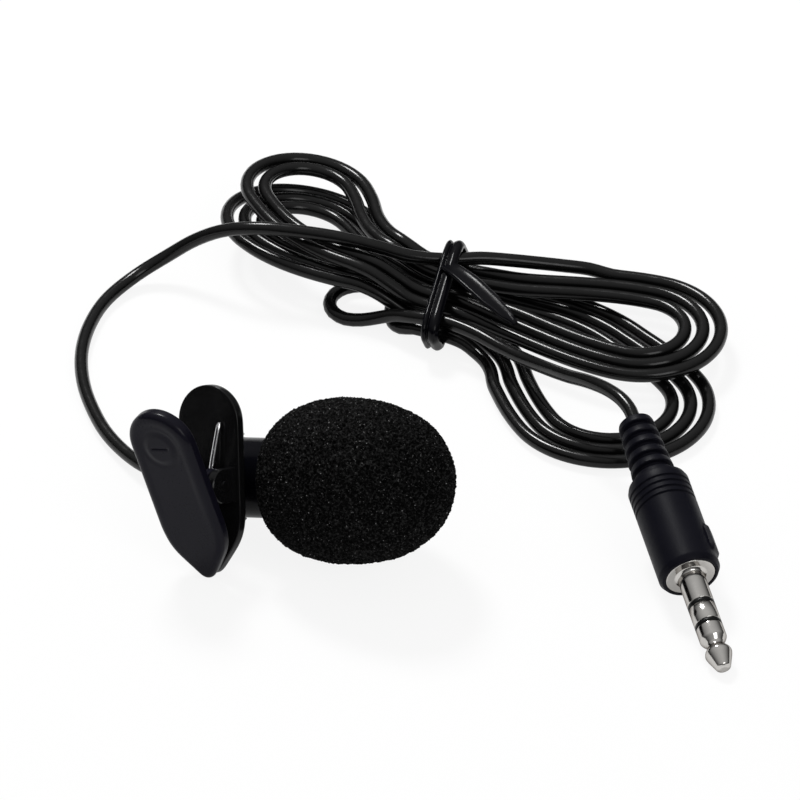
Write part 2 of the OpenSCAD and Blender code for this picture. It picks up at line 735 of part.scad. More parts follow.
module grille_mesh() {
    color([0.6, 0.6, 0.6]) on_barrel() ring(mesh_from, mesh_t, barrel_bore_r - 0.05, 0);
}

module front_grille() {
    color([0.15, 0.15, 0.16]) on_barrel() difference() {
        ring(grille_from, grille_t, barrel_bore_r, 0);
        for (k = [0:2], i = [0:max(0, 6 * k - 1)]) rotate(60 * i / max(1, k))
            translate([k * barrel_bore_r * 0.38, 0, grille_from - 1])
                cylinder(r = grille_hole_r, h = grille_t + 2, $fn = 16);
    }
}

// Radius of the windscreen at distance x from its rear end
function foam_radius(x) = let (c = foam_wide * foam_len)
    foam_r * pow(max(0, 1 - pow(x < c ? (c - x) / (c * foam_rear) : (x - c) / (foam_len - c),
        foam_blunt)), 1 / foam_blunt);

module foam_windscreen() {
    steps = 24;
    bore = barrel_r + foam_clearance;
    outside = [for (i = [0:steps - 1]) let (x = foam_len * (1 - cos(180 * i / steps)) / 2)
        [foam_radius(x), foam_from + x]];
    color([0.13, 0.13, 0.13]) on_barrel() rotate_extrude() polygon(concat(
        [[bore, foam_from]], outside, [[0, foam_from + foam_len], [0, barrel_front + foam_air],
            [bore, barrel_front + foam_air]]));
}

// ---- Cord and twist tie ----

module mic_lead() {
    echo(mic_lead_length = line_len(mic_lead_path));
    color([0.05, 0.05, 0.05]) tube(mic_lead_path, cord_r, tube_sides);
}

module cord_hank() {
    fine = hank_line(2 * rings_per_loop);
    echo(hank_length = line_len(hank_fine), hank_gap = least_gap(fine, 8) - cord_d);
    color([0.05, 0.05, 0.05]) tube(hank_tube, cord_r, hank_sides);
}

module plug_lead() {
    echo(plug_lead_length = line_len(plug_lead_path));
    color([0.05, 0.05, 0.05]) tube(plug_lead_path, cord_r, tube_sides);
}

module tie_section(grow) {
    hull() for (p = tie_stack) translate(p) circle(r = cord_r + tie_clearance + grow, $fn = 24);
}

module twist_tie() {
    color([0.07, 0.07, 0.07]) {
        translate([hank_at.x, hank_at.y, 0]) rotate([90, 0, hank_turn + 90 + tie_skew])
            scale([tie_spread, 1, 1]) {
            linear_extrude(tie_w, center = true) difference() {
                tie_section(tie_t);
                tie_section(0);
            }
            linear_extrude(tie_ridge_w, center = true) difference() {
                tie_section(tie_t + tie_ridge);
                tie_section(tie_t - eps);
            }
        }
        swept(tail_points, tail_half_w, [for (w = tail_half_w) tie_t / 2], 12, [1, 1, 0]);
    }
}

// ---- Plug ----

module plug_tip() {
    color([0.78, 0.77, 0.74]) on_plug() rotate_extrude() polygon([
        [0, 0], [0.6, 0], [0.9, 0.2], [jack_r - 0.15, 2], [jack_r, 2.4], [jack_r - 0.1, 2.8],
        [jack_r * 0.68, 3.5], [jack_r * 0.68, 3.9], [jack_r - 0.1, 4.6], [jack_r, 4.8],
        [jack_r, tip_len], [rod_r, tip_len], [rod_r, sleeve_end + 3 * tube_step + 0.8],
        [0, sleeve_end + 3 * tube_step + 0.8]]);
}

// A contact or insulator of the shaft: a visible ring and a tube to the rear
module shaft_piece(from, length, bore, tube_r, tube_end) {
    rotate_extrude() polygon([[bore, from], [jack_r, from], [jack_r, from + length],
        [tube_r, from + length], [tube_r, tube_end], [bore, tube_end]]);
}

module tip_insulator() {
    color([0.06, 0.06, 0.06]) on_plug()
        shaft_piece(tip_len, insulator_w, rod_r, ring_tube_r, sleeve_end + 3 * tube_step);
}

module plug_ring() {
    color([0.78, 0.77, 0.74]) on_plug()
        shaft_piece(ring_from, ring_len, ring_tube_r, ring_sleeve_r, sleeve_end + 2 * tube_step);
}

module ring_insulator() {
    color([0.06, 0.06, 0.06]) on_plug() shaft_piece(ring_from + ring_len, insulator_w,
        ring_sleeve_r, sleeve_bore_r, sleeve_end + tube_step);
}

module plug_sleeve() {
    color([0.78, 0.77, 0.74]) on_plug() {
        ring(sleeve_from, sleeve_end - sleeve_from, jack_r, sleeve_bore_r);
        ring(shaft_len, collar_t, collar_r, jack_r - eps);
        ring(mould_from - eps, sleeve_end - mould_from + eps, sleeve_root_r, jack_r - eps);
    }
}

// A washer with a tab that runs to the rear
module terminal(from, bore, washer_r, side, tab_end) {
    ring(from, 0.3, washer_r, bore);
    rotate(side) translate([washer_r - 0.25, -0.4, from]) cube([0.25, 0.8, tab_end - from]);
}

module tip_terminal() {
    color([0.8, 0.7, 0.4]) on_plug()
        terminal(sleeve_end + 3 * tube_step + 0.1, rod_r, 1, 90, sleeve_end + 5.4);
}

module ring_terminal() {
    color([0.8, 0.7, 0.4]) on_plug()
        terminal(sleeve_end + tube_step + 0.1, ring_sleeve_r, ring_washer_r, 180, sleeve_end + 5.4);
}

module sleeve_terminal() {
    color([0.8, 0.7, 0.4]) on_plug() {
        terminal(sleeve_end, sleeve_bore_r, mould_bore_r - 0.05, 0, clamp_from + 1.5);
        translate([cord_r, -0.4, clamp_from]) cube([mould_bore_r - 0.05 - cord_r, 0.8, 1.5]);
        ring(clamp_from, 1.5, cord_r + 0.35, cord_r);
    }
}

module plug_cores() {
    color([0.75, 0.2, 0.15]) on_plug() for (p = [[90, 0.75], [180, ring_washer_r - 0.25]]) rotate(p[0])
        rod([core_x, 0, plug_tail_from - core_gap], [p[1] - core_r, 0, sleeve_end + 4.6], core_r);
}

module plug_cord_tail() {
    color([0.05, 0.05, 0.05]) on_plug() ring(plug_tail_from, boot_end - plug_tail_from, cord_r, 0);
}

module inner_mould() {
    color([0.85, 0.85, 0.82]) on_plug() ring(mould_from, mould_len, mould_r, mould_bore_r);
}

// Grooves are cut one by one from a plain outline of revolution
module groove(z, width, depth, outer) {
    ring(z, width, outer + 1, outer - depth);
}

module plug_body() {
    color([0.1, 0.1, 0.11]) on_plug() {
        difference() {
            rotate_extrude() polygon([[collar_r, shaft_len], [body_r - body_edge, shaft_len],
                [body_r, shaft_len + body_edge], [body_r, body_end - body_edge],
                [body_r - body_edge, body_end], [boot_neck_r, body_end],
                [boot_neck_r, cavity_end], [mould_r, cavity_end], [mould_r, mould_from],
                [collar_r, mould_from]]);
            for (i = [0:ring_count - 1])
                groove(body_end - body_edge - 1.2 - i * ring_pitch, 0.3, ring_depth, body_r);
        }
        rotate(pad_turn) translate([body_r - pad_root, 0, shaft_len + body_edge + pad_from + pad_len / 2])
            rotate([0, 90, 0]) intersection() {
                cylinder(r = pad_len / 2, h = pad_root + pad_h);
                translate([-pad_len, -pad_w / 2, 0]) cube([2 * pad_len, pad_w, pad_len]);
            }
    }
}

module plug_strain_relief() {
    step = (boot_len - 1.2) / rib_count;
    function outline_r(z) = boot_r + (boot_end_r - boot_r) * (z - body_end) / boot_len;
    color([0.08, 0.08, 0.08]) on_plug() difference() {
        rotate_extrude() polygon([[cord_r, cavity_end - boot_flange_t],
            [mould_r - 0.02, cavity_end - boot_flange_t], [mould_r - 0.02, cavity_end],
            [boot_neck_r, cavity_end], [boot_neck_r, body_end], [boot_r, body_end],
            [boot_end_r, boot_end - 0.3], [boot_end_r - 0.3, boot_end], [cord_r, boot_end]]);
        for (i = [0:rib_count - 1]) let (z = body_end + 1 + i * step)
            groove(z, step * 0.4, rib_depth, outline_r(z + step * 0.2));
    }
}

rear_jaw();
front_jaw();
hinge_pin();
torsion_spring();
mic_barrel();
barrel_back_cap();
cord_grommet();
cord_tail();
cord_crimp();
wire_cores();
solder_joints();
capsule_board();
electret_capsule();
capsule_ring();
felt_disc();
grille_mesh();
front_grille();
foam_windscreen();
mic_lead();
cord_hank();
plug_lead();
twist_tie();
plug_tip();
tip_insulator();
plug_ring();
ring_insulator();
plug_sleeve();
tip_terminal();
ring_terminal();
sleeve_terminal();
plug_cores();
plug_cord_tail();
inner_mould();
plug_body();
plug_strain_relief();
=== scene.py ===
"""Visual model of a clip-on microphone: foam windscreen, sprung clip, tied cord, jack plug.

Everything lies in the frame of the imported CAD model. Shapes are built in millimetres from
the same values as the part's source, and are scaled to metres as each mesh is made.
"""

import math

import bmesh
import bpy
from mathutils import Euler, Matrix, Vector, noise
from mathutils.geometry import convex_hull_2d


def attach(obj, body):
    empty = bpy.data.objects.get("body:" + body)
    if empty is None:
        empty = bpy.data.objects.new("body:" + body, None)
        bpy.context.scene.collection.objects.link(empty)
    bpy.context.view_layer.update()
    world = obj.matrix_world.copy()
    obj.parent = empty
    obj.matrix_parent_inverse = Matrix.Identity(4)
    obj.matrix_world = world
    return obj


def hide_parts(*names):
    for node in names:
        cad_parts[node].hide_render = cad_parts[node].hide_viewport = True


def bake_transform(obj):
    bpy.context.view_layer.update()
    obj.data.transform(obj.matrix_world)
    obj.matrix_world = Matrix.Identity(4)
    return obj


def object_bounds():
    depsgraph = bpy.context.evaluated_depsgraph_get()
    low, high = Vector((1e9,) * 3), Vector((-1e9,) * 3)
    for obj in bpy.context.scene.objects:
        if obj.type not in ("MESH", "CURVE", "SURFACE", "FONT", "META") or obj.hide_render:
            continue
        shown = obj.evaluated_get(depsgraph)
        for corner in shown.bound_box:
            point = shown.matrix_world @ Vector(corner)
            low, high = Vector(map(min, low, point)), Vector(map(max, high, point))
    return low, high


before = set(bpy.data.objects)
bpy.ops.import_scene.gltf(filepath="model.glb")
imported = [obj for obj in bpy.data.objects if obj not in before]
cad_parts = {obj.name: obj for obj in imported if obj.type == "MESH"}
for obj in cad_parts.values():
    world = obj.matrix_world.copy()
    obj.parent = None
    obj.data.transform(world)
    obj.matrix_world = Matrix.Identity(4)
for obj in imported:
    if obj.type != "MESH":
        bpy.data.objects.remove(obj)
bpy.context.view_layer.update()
scene = bpy.context.scene
MM = 0.001
FULL_TURN = 2 * math.pi
TINY = 1e-6
WHITE = (1, 1, 1, 1)


# ---- Places ----


def placed(origin, turn):
    """Matrix of a place: origin in millimetres, turns about X, Y and Z in degrees."""
    rotation = Euler([math.radians(a) for a in turn], "XYZ").to_matrix().to_4x4()
    return Matrix.Translation(Vector(origin) * MM) @ rotation


def at(place, point):
    """A point given in millimetres in a place, in metres in the frame."""
    return place @ (Vector(point) * MM)


JAW_GAP = 2.6
JAW_T = 1.8
JAW_ANGLE = 28
BARREL_R = 5.1
BARREL_BACK = 5.5
BARREL_FRONT = 19.0
BARREL_STANDOFF = 1.8
BARREL_AXIS = (0, JAW_GAP + JAW_T + BARREL_STANDOFF + BARREL_R, 0)
GROMMET_LEN = 4
CORD_EXIT = (-BARREL_BACK - GROMMET_LEN, *BARREL_AXIS[1:])
PLUG_RISE = 14.7
PLUG_HEADING = 105.3
PLUG_TURN = (0, 90 - PLUG_RISE, PLUG_HEADING)
BODY_FROM = 15.0
BODY_END = 30.3
BOOT_END = 40.4

HEAD_AT = (-12.07, -1.93, 11.37)
HEAD_TURN = (-26, -18.5, -30)
PLUG_AT = (53.6, -26.4, 1.1)

HERE = Matrix.Identity(4)
HEAD = placed(HEAD_AT, HEAD_TURN)
FRONT = HEAD @ placed((0, 0, 0), (JAW_ANGLE, 0, 0))
BARREL = HEAD @ placed(BARREL_AXIS, (0, 90, 0))
PLUG = placed(PLUG_AT, PLUG_TURN)


# ---- Camera ----

# A long lens from 1 m, so that the view has little perspective.
ELEVATION = math.radians(36)
DISTANCE = 1.0
LENS = 348.75
TARGET = Vector((13.4, 25.1, 5.0)) * MM
camera = bpy.data.objects.new("camera", bpy.data.cameras.new("camera"))
camera.data.lens = LENS
camera.data.sensor_width = 36
camera.data.clip_start = 0.05
camera.data.clip_end = 20
camera.location = TARGET + Vector((0, -math.cos(ELEVATION), math.sin(ELEVATION))) * DISTANCE
camera.rotation_euler = (math.pi / 2 - ELEVATION, 0, 0)
scene.collection.objects.link(camera)
scene.camera = camera


# ---- Small functions ----

ROUND_STEPS = 96
FILLET_SHARE = 0.45
WELD = 1e-7
# Angles in degrees between faces from which an edge is drawn sharp.
SHARP, ALL_SMOOTH = 35, 180


def clamp(x):
    return min(1.0, max(0.0, x))


def ease(x):
    x = clamp(x)
    return x * x * (3 - 2 * x)


def mix(pair, share):
    return pair[0] + (pair[1] - pair[0]) * share


def smooth_line(points, step):
    """A centripetal Catmull-Rom line through the points, at about step between samples."""
    line = [points[0].copy()]
    last = len(points) - 1
    for i in range(last):
        b, c = points[i], points[i + 1]
        a = points[i - 1] if i else b - (c - b)
        d = points[i + 2] if i + 2 <= last else c + (c - b)
        t1 = math.sqrt((b - a).length)
        t2 = t1 + math.sqrt((c - b).length)
        t3 = t2 + math.sqrt((d - c).length)
        count = max(1, math.ceil((c - b).length / step))
        for k in range(1, count + 1):
            t = t1 + (t2 - t1) * k / count
            ab = a.lerp(b, t / t1)
            bc = b.lerp(c, (t - t1) / (t2 - t1))
            cd = c.lerp(d, (t - t2) / (t3 - t2))
            abc = ab.lerp(bc, t / t2)
            bcd = bc.lerp(cd, (t - t1) / (t3 - t1))
            line.append(abc.lerp(bcd, (t - t1) / (t2 - t1)))
    return line


def resampled(points, count):
    """count + 1 points at even distances along an open line."""
    lengths = [0.0]
    for a, b in zip(points, points[1:]):
        lengths.append(lengths[-1] + (b - a).length)
    made, i = [], 0
    for k in range(count + 1):
        want = lengths[-1] * k / count
        while i < len(points) - 2 and lengths[i + 1] < want:
            i += 1
        span = lengths[i + 1] - lengths[i]
        made.append(points[i].lerp(points[i + 1], clamp((want - lengths[i]) / span)))
    return made


def relaxed(points, rounds):
    """A closed line with its corners eased: each point goes halfway to its neighbours'
    middle."""
    for _ in range(rounds):
        points = [
            p * 0.5 + (points[i - 1] + points[(i + 1) % len(points)]) * 0.25
            for i, p in enumerate(points)
        ]
    return points


def filleted(profile, reach, steps):
    """A profile whose inner corners are rounded, starting reach before each corner."""
    made = [profile[0]]
    for a, b, c in zip(profile, profile[1:], profile[2:]):
        a, b, c = Vector(a), Vector(b), Vector(c)
        u, v = a - b, c - b
        start = b + u * min(FILLET_SHARE, reach / u.length)
        end = b + v * min(FILLET_SHARE, reach / v.length)
        for k in range(steps + 1):
            s = k / steps
            made.append(tuple(start.lerp(b, s).lerp(b.lerp(end, s), s)))
    return made + [profile[-1]]


def hull_outline(circles):
    """Convex outline round circles given as (x, y, radius)."""
    cloud = []
    for x, y, r in circles:
        for k in range(ROUND_STEPS):
            a = FULL_TURN * k / ROUND_STEPS
            cloud.append(Vector((x + r * math.cos(a), y + r * math.sin(a))))
    return [cloud[i] for i in convex_hull_2d(cloud)]


def square_to(outline, i):
    """The unit vector square to a closed outline at its point i."""
    ahead = (outline[(i + 1) % len(outline)] - outline[i - 1]).normalized()
    return Vector((ahead.y, -ahead.x))


def skin(rings, closed=False):
    """Vertices and faces of a tube through rings of equal count, capped if it is open."""
    size = len(rings[0])
    verts = [p for r in rings for p in r]
    faces = []
    spans = len(rings) if closed else len(rings) - 1
    for i in range(spans):
        a, b = i * size, (i + 1) % len(rings) * size
        for j in range(size):
            k = (j + 1) % size
            faces.append((a + j, a + k, b + k, b + j))
    if not closed:
        faces.append(tuple(reversed(range(size))))
        faces.append(tuple(range(len(verts) - size, len(verts))))
    return verts, faces


def swept(path, section, first):
    """A tube along path. section(i) gives its outline as (across, out) pairs, and first is
    the direction across at the start."""
    rings = []
    side = Vector(first)
    for i, p in enumerate(path):
        along = (path[min(i + 1, len(path) - 1)] - path[max(i - 1, 0)]).normalized()
        side = (side - along * side.dot(along)).normalized()
        out = along.cross(side)
        rings.append([p + side * a + out * b for a, b in section(i)])
    return skin(rings)


def circle(radius, sides):
    turns = [FULL_TURN * (k + 0.5) / sides for k in range(sides)]
    return [(radius * math.cos(a), radius * math.sin(a)) for a in turns]


def lathe(profile, segments=ROUND_STEPS, bump=None):
    """A profile of (radius, height) turned about Z. bump(angle, height, radius) gives what is
    added to the radius."""
    verts, rings, faces = [], [], []
    for r, z in profile:
        if r < TINY:
            rings.append([len(verts)])
            verts.append((0, 0, z))
            continue
        rings.append(list(range(len(verts), len(verts) + segments)))
        for k in range(segments):
            a = FULL_TURN * k / segments
            grown = r + (bump(a, z, r) if bump else 0)
            verts.append((grown * math.cos(a), grown * math.sin(a), z))
    for a, b in zip(rings, rings[1:]):
        for i in range(segments):
            j = (i + 1) % segments
            corners = [a[i % len(a)], a[j % len(a)], b[j % len(b)], b[i % len(b)]]
            face = tuple(dict.fromkeys(corners))
            if len(face) > 2:
                faces.append(face)
    return verts, faces


def closed_lathe(profile, segments=ROUND_STEPS, bump=None):
    """A closed profile turned about Z."""
    return lathe(profile + profile[:1], segments, bump)


def piece(name, shape, place, body, material, replaces=(), sharp=SHARP):
    """A mesh object from vertices in millimetres, shaded smooth apart from sharp edges."""
    verts, faces = shape
    mesh = bpy.data.meshes.new(name)
    mesh.from_pydata([at(place, v) for v in verts], [], faces)
    work = bmesh.new()
    work.from_mesh(mesh)
    bmesh.ops.remove_doubles(work, verts=work.verts, dist=WELD)
    bmesh.ops.recalc_face_normals(work, faces=work.faces)
    work.to_mesh(mesh)
    work.free()
    mesh.shade_smooth()
    mesh.set_sharp_from_angle(angle=math.radians(sharp))
    mesh.materials.append(material)
    obj = bpy.data.objects.new(name, mesh)
    scene.collection.objects.link(obj)
    if body:
        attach(obj, body)
    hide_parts(*replaces)
    return obj


# ---- Materials ----

# The colour sockets of a Mix node.
MIX_A, MIX_B, MIX_RESULT = 6, 7, 2
# The levels of the patches times the grain that are spread over a surface's roughness.
GLOSS_LEVELS = (0.12, 0.42)
# Sizes in millimetres and levels of the foam's struts and of its specks of painted highlight, and
# its greys: the pores' near-black is painted shade and the glint grey a painted highlight.
STRUT_SIZE, STRUT_LEVELS = 0.33, (0.49, 0.6)
GLINT_SPECK_SIZE, GLINT_SPECK_LEVELS = 0.4, (0.12, 0.26)
PORE_SHADE_GREY, STRUT_GREY, PAINTED_GLINT_GREY = 0.0008, 0.023, 0.34
FOAM_RELIEF = 0.2


def node(tree, kind, inputs=None, **settings):
    """A shader node with its settings; inputs holds values or the sockets to link."""
    made = tree.nodes.new(kind)
    for key, value in settings.items():
        setattr(made, key, value)
    for key, value in (inputs or {}).items():
        if isinstance(value, bpy.types.NodeSocket):
            tree.links.new(value, made.inputs[key])
        else:
            made.inputs[key].default_value = value
    return made


def maths(tree, operation, *values, **settings):
    """The result of a Math node."""
    inputs = dict(enumerate(values))
    return node(tree, "ShaderNodeMath", inputs, operation=operation, **settings).outputs[0]


def ranged(tree, value, source, target):
    """value taken from the range source to the range target."""
    inputs = dict(enumerate((value, *source, *target)))
    return node(tree, "ShaderNodeMapRange", inputs).outputs[0]


def grained(tree, where, size, detail, roughness=0.5):
    """The level of a noise texture whose lumps are size millimetres wide."""
    inputs = {"Vector": where, "Scale": 1 / (size * MM), "Detail": detail}
    return node(tree, "ShaderNodeTexNoise", {**inputs, "Roughness": roughness}).outputs[0]


def bumped(tree, shader, height, relief):
    """Gives the shader a relief, in millimetres, from the height."""
    inputs = {"Height": height, "Distance": relief * MM, "Strength": 1.0}
    bump = node(tree, "ShaderNodeBump", inputs)
    tree.links.new(bump.outputs[0], shader.inputs["Normal"])


def started(name, **sockets):
    """A new material, its tree and its shader with plain values set on the sockets."""
    material = bpy.data.materials.new(name)
    material.use_nodes = True
    shader = material.node_tree.nodes["Principled BSDF"]
    for key, value in sockets.items():
        shader.inputs[key.replace("_", " ")].default_value = value
    return material, material.node_tree, shader


def surface(
    name, colors, rough, grain, relief, patch=4.0, drawn=(1, 1, 1), turn=(0, 0, 0), **sockets
):
    """A surface with patches of two colours, uneven gloss and a fine grain.

    grain and patch are the sizes of the grain and of the patches and relief the grain's
    height, all in millimetres; rough is the range of roughness. drawn lengthens the grain
    along the axes of a place turned by turn, in degrees."""
    material, tree, shader = started(name, **sockets)
    where = node(tree, "ShaderNodeTexCoord").outputs["Object"]
    inputs = {"Vector": where, "Rotation": [math.radians(a) for a in turn], "Scale": drawn}
    along = node(tree, "ShaderNodeMapping", inputs, vector_type="TEXTURE").outputs[0]
    broad = grained(tree, where, patch, detail=4.0, roughness=0.6)
    fine = grained(tree, along, grain, detail=3.0)
    inputs = {0: broad, MIX_A: (*colors[0], 1), MIX_B: (*colors[1], 1)}
    mixed = node(tree, "ShaderNodeMix", inputs, data_type="RGBA")
    tree.links.new(mixed.outputs[MIX_RESULT], shader.inputs["Base Color"])
    gloss = ranged(tree, maths(tree, "MULTIPLY", broad, fine), GLOSS_LEVELS, rough)
    tree.links.new(gloss, shader.inputs["Roughness"])
    bumped(tree, shader, fine, relief)
    return material


def foam_material():
    """Open-cell foam: near-black pores of painted shade, dark struts and sparse specks of painted
    highlight where a strut would glint.
    """
    material, tree, shader = started("foam", Specular_IOR_Level=0.05, Roughness=0.75)
    where = node(tree, "ShaderNodeTexCoord").outputs["Object"]
    grain = grained(tree, where, STRUT_SIZE, detail=2.5, roughness=0.7)
    struts = ranged(tree, grain, STRUT_LEVELS, (0.0, 0.5))
    # Specks of painted highlight: glints painted into the base colour where the middles of the
    # Voronoi cells fall on a strut.
    inputs = {"Vector": where, "Scale": 1 / (GLINT_SPECK_SIZE * MM), "Randomness": 1.0}
    cells = node(tree, "ShaderNodeTexVoronoi", inputs).outputs["Distance"]
    painted_glints = ranged(tree, cells, GLINT_SPECK_LEVELS, (0.5, 0.0))
    painted_glints_on_struts = maths(tree, "MULTIPLY", painted_glints, struts)
    lit = maths(tree, "MULTIPLY_ADD", painted_glints_on_struts, 2.0, struts)
    # The ramp paints the pores near-black as painted shade, the struts dark grey, and the specks
    # light grey as painted glints.
    ramp = node(tree, "ShaderNodeValToRGB", {"Fac": lit})
    stops = ramp.color_ramp.elements
    stops.new(0.5)
    for stop, place, grey in zip(stops, (0.0, 0.5, 1.0), (PORE_SHADE_GREY, STRUT_GREY, PAINTED_GLINT_GREY)):
        stop.position = place
        stop.color = (grey, grey, grey, 1)
    tree.links.new(ramp.outputs[0], shader.inputs["Base Color"])
    bumped(tree, shader, lit, FOAM_RELIEF)
    return material


CLIP = surface(
    "clip_plastic", colors=[(0.0045, 0.0042, 0.0085), (0.007, 0.0065, 0.0115)],
    rough=(0.26, 0.38), grain=0.35, relief=0.003,
    Specular_IOR_Level=0.07, Coat_Weight=0.08, Coat_Roughness=0.08,
)  # fmt: skip
# A darker, less blue copy of the clip plastic: painted shade for the rear jaw, its lugs and its
# snap ring.
CLIP_IN_SHADE = surface(
    "clip_plastic_painted_shade", colors=[(0.0035, 0.0035, 0.0038), (0.0055, 0.0055, 0.006)],
    rough=(0.16, 0.24), grain=0.5, relief=0.0015, Specular_IOR_Level=0.2,
)  # fmt: skip
BARREL_BLACK = surface(
    "barrel_black", colors=[(0.002, 0.002, 0.0035), (0.0035, 0.0035, 0.006)],
    rough=(0.16, 0.26), grain=0.3, relief=0.002, Specular_IOR_Level=0.08,
)  # fmt: skip
CORD = surface(
    "cord_pvc", colors=[(0.002, 0.002, 0.002), (0.004, 0.004, 0.004)],
    rough=(0.14, 0.26), grain=0.9, relief=0.01, patch=6, Specular_IOR_Level=0.26,
)  # fmt: skip
TIE = surface(
    "tie_plastic", colors=[(0.0008, 0.0008, 0.0016), (0.0016, 0.0016, 0.003)],
    rough=(0.16, 0.26), grain=0.6, relief=0.004, Specular_IOR_Level=0.12,
)  # fmt: skip
PLUG_PVC = surface(
    "plug_pvc", colors=[(0.003, 0.003, 0.006), (0.005, 0.005, 0.009)],
    rough=(0.38, 0.5), grain=0.22, relief=0.01, Specular_IOR_Level=0.07,
)  # fmt: skip
RUBBER = surface(
    "soft_rubber", colors=[(0.008, 0.008, 0.008), (0.014, 0.014, 0.014)],
    rough=(0.6, 0.8), grain=0.2, relief=0.01,
)  # fmt: skip
INSULATOR = surface(
    "insulator_black", colors=[(0.002, 0.002, 0.002), (0.004, 0.004, 0.004)],
    rough=(0.3, 0.42), grain=0.3, relief=0.003, Specular_IOR_Level=0.15,
)  # fmt: skip
NICKEL = surface(
    "nickel", colors=[(0.5, 0.485, 0.465), (0.6, 0.585, 0.56)],
    rough=(0.1, 0.2), grain=0.12, relief=0.003, drawn=(25, 25, 1), turn=PLUG_TURN,
    Metallic=1.0, Specular_Tint=(0.35, 0.33, 0.32, 1),
)  # fmt: skip
STEEL = surface(
    "spring_steel", colors=[(0.6, 0.6, 0.62), (0.75, 0.75, 0.76)],
    rough=(0.08, 0.2), grain=0.2, relief=0.003, Metallic=1.0,
)  # fmt: skip
PIN_STEEL = surface(
    "pin_steel", colors=[(0.03, 0.03, 0.032), (0.06, 0.06, 0.065)],
    rough=(0.35, 0.5), grain=0.2, relief=0.004, Metallic=1.0,
)  # fmt: skip
MESH_STEEL = surface(
    "steel_mesh", colors=[(0.4, 0.4, 0.41), (0.55, 0.55, 0.55)],
    rough=(0.3, 0.45), grain=0.25, relief=0.05, Metallic=1.0,
)  # fmt: skip
BRASS = surface(
    "brass", colors=[(0.6, 0.42, 0.16), (0.75, 0.55, 0.26)],
    rough=(0.2, 0.35), grain=0.3, relief=0.005, Metallic=1.0,
)  # fmt: skip
SOLDER = surface(
    "solder", colors=[(0.55, 0.55, 0.57), (0.7, 0.7, 0.72)],
    rough=(0.2, 0.35), grain=0.3, relief=0.02, Metallic=1.0,
)  # fmt: skip
ALUMINIUM = surface(
    "aluminium", colors=[(0.6, 0.6, 0.62), (0.72, 0.72, 0.74)],
    rough=(0.25, 0.4), grain=0.2, relief=0.004, Metallic=1.0,
)  # fmt: skip
BOARD = surface(
    "circuit_board", colors=[(0.01, 0.1, 0.04), (0.02, 0.16, 0.06)],
    rough=(0.3, 0.45), grain=0.25, relief=0.01,
)  # fmt: skip
CORE = surface(
    "core_insulation", colors=[(0.4, 0.03, 0.02), (0.5, 0.05, 0.04)],
    rough=(0.3, 0.45), grain=0.4, relief=0.01,
)  # fmt: skip
MOULD = surface(
    "inner_plastic", colors=[(0.6, 0.6, 0.56), (0.7, 0.7, 0.66)],
    rough=(0.4, 0.55), grain=0.4, relief=0.01,
)  # fmt: skip
FELT = surface(
    "felt", colors=[(0.02, 0.02, 0.02), (0.05, 0.05, 0.05)],
    rough=(0.85, 1.0), grain=0.12, relief=0.12,
)  # fmt: skip
FOAM = foam_material()


# ---- Cord ----

CORD_R = 0.9
CORD_STEP = 1.2
CORD_RESOLUTION = 6
END_RUN = 2

# The hank. Its turns run from HANK_FROM to HANK_TO and go back over themselves at HANK_BACK.
# A pair holds a value of the lower layer and one of the upper layer.
HANK_AT = Vector((19.9, 51.7, 0))
HANK_TURN = math.radians(-21)
HANK_FROM = 0.1
HANK_TO = 5.5
HANK_BACK = 2.5
HANK_CLIMB = 0.055
HANK_STEPS = 96
WAIST_W = 6.5
WAIST_STEP = 2.4
FOLD_STEP = 2.38
FOLD_RIGHT, FOLD_LEFT = (11.3, 12.3), (10.1, 11.1)
RUN_RIGHT, RUN_LEFT = (26.5, 31.5), (27, 24)
FAN_RIGHT, FAN_LEFT = (0.5, -42), (-48, -33)
ROLL_LEFT = (9, 12)
WAIST_Z, RIGHT_Z, LEFT_Z = (4.4, 2), (4, 1.1), (7, 4.2)
# Shares of a turn, and lengths along the hank; FAN_LEN's are right and left of the waist.
RUN_SHARE, FOLD_SHARE, LEFT_HOLD = 0.125, 0.25, 0.2
WAIST_FLAT, FAN_LEN, LIFT_FROM, LIFT_LEN = 5, (15.5, 18), 2, 8

MIC_LEAD = [
    (-17.2, 12.9, 2.4), (-19.6, 15.2, 1.9), (-21.9, 18.5, 1.4), (-24.3, 22.7, 1.2),
    (-26.1, 27.4, 1.05), (-27.8, 34.1, 1), (-28.3, 41.1, 1), (-27.4, 47.6, 1),
    (-25.3, 53.4, 1), (-21.6, 57.8, 1.7), (-17.6, 59.3, 3.7), (-13.6, 58.9, 6.7),
    (-9.6, 57.5, 9.2), (-5.1, 56.2, 10.4), (0.4, 55.5, 10.3), (5.4, 54.8, 9.85),
    (10.6, 54, 8.9), (14.9, 53.3, 7.9), (19.9, 53.5, 7.25), (24, 54.1, 7.05),
    (27.7, 54.6, 6.4), (31.5, 55.1, 5.6), (35.2, 55.4, 4.9), (38.4, 55.4, 4.4),
]  # fmt: skip
PLUG_LEAD = [
    (13.5, 46.4, 1.3), (12.5, 48, 0.95), (12.15, 50.1, 0.93), (12.3, 52.4, 0.93),
    (11.75, 54.45, 0.93), (10.25, 55.95, 0.93), (8.2, 56.5, 0.93), (6.15, 55.95, 0.93),
    (4.65, 54.45, 0.93), (4.1, 52.4, 0.93), (4.65, 50.35, 0.93), (6.2, 48.9, 0.93),
    (8.4, 48.15, 1.3), (10.4, 47.5, 2.1), (12.5, 46.5, 3.2), (14.8, 44.8, 4.2),
    (17.1, 43.6, 4.75), (19.5, 42.6, 4.9), (23.1, 40.2, 4.9), (26.1, 37.2, 5),
    (29.3, 33.5, 5.6), (32.1, 29.5, 7), (34.9, 24.9, 9), (37.7, 20.9, 10.9),
    (40, 17.8, 11.9), (41.7, 15.3, 12.15),
]  # fmt: skip


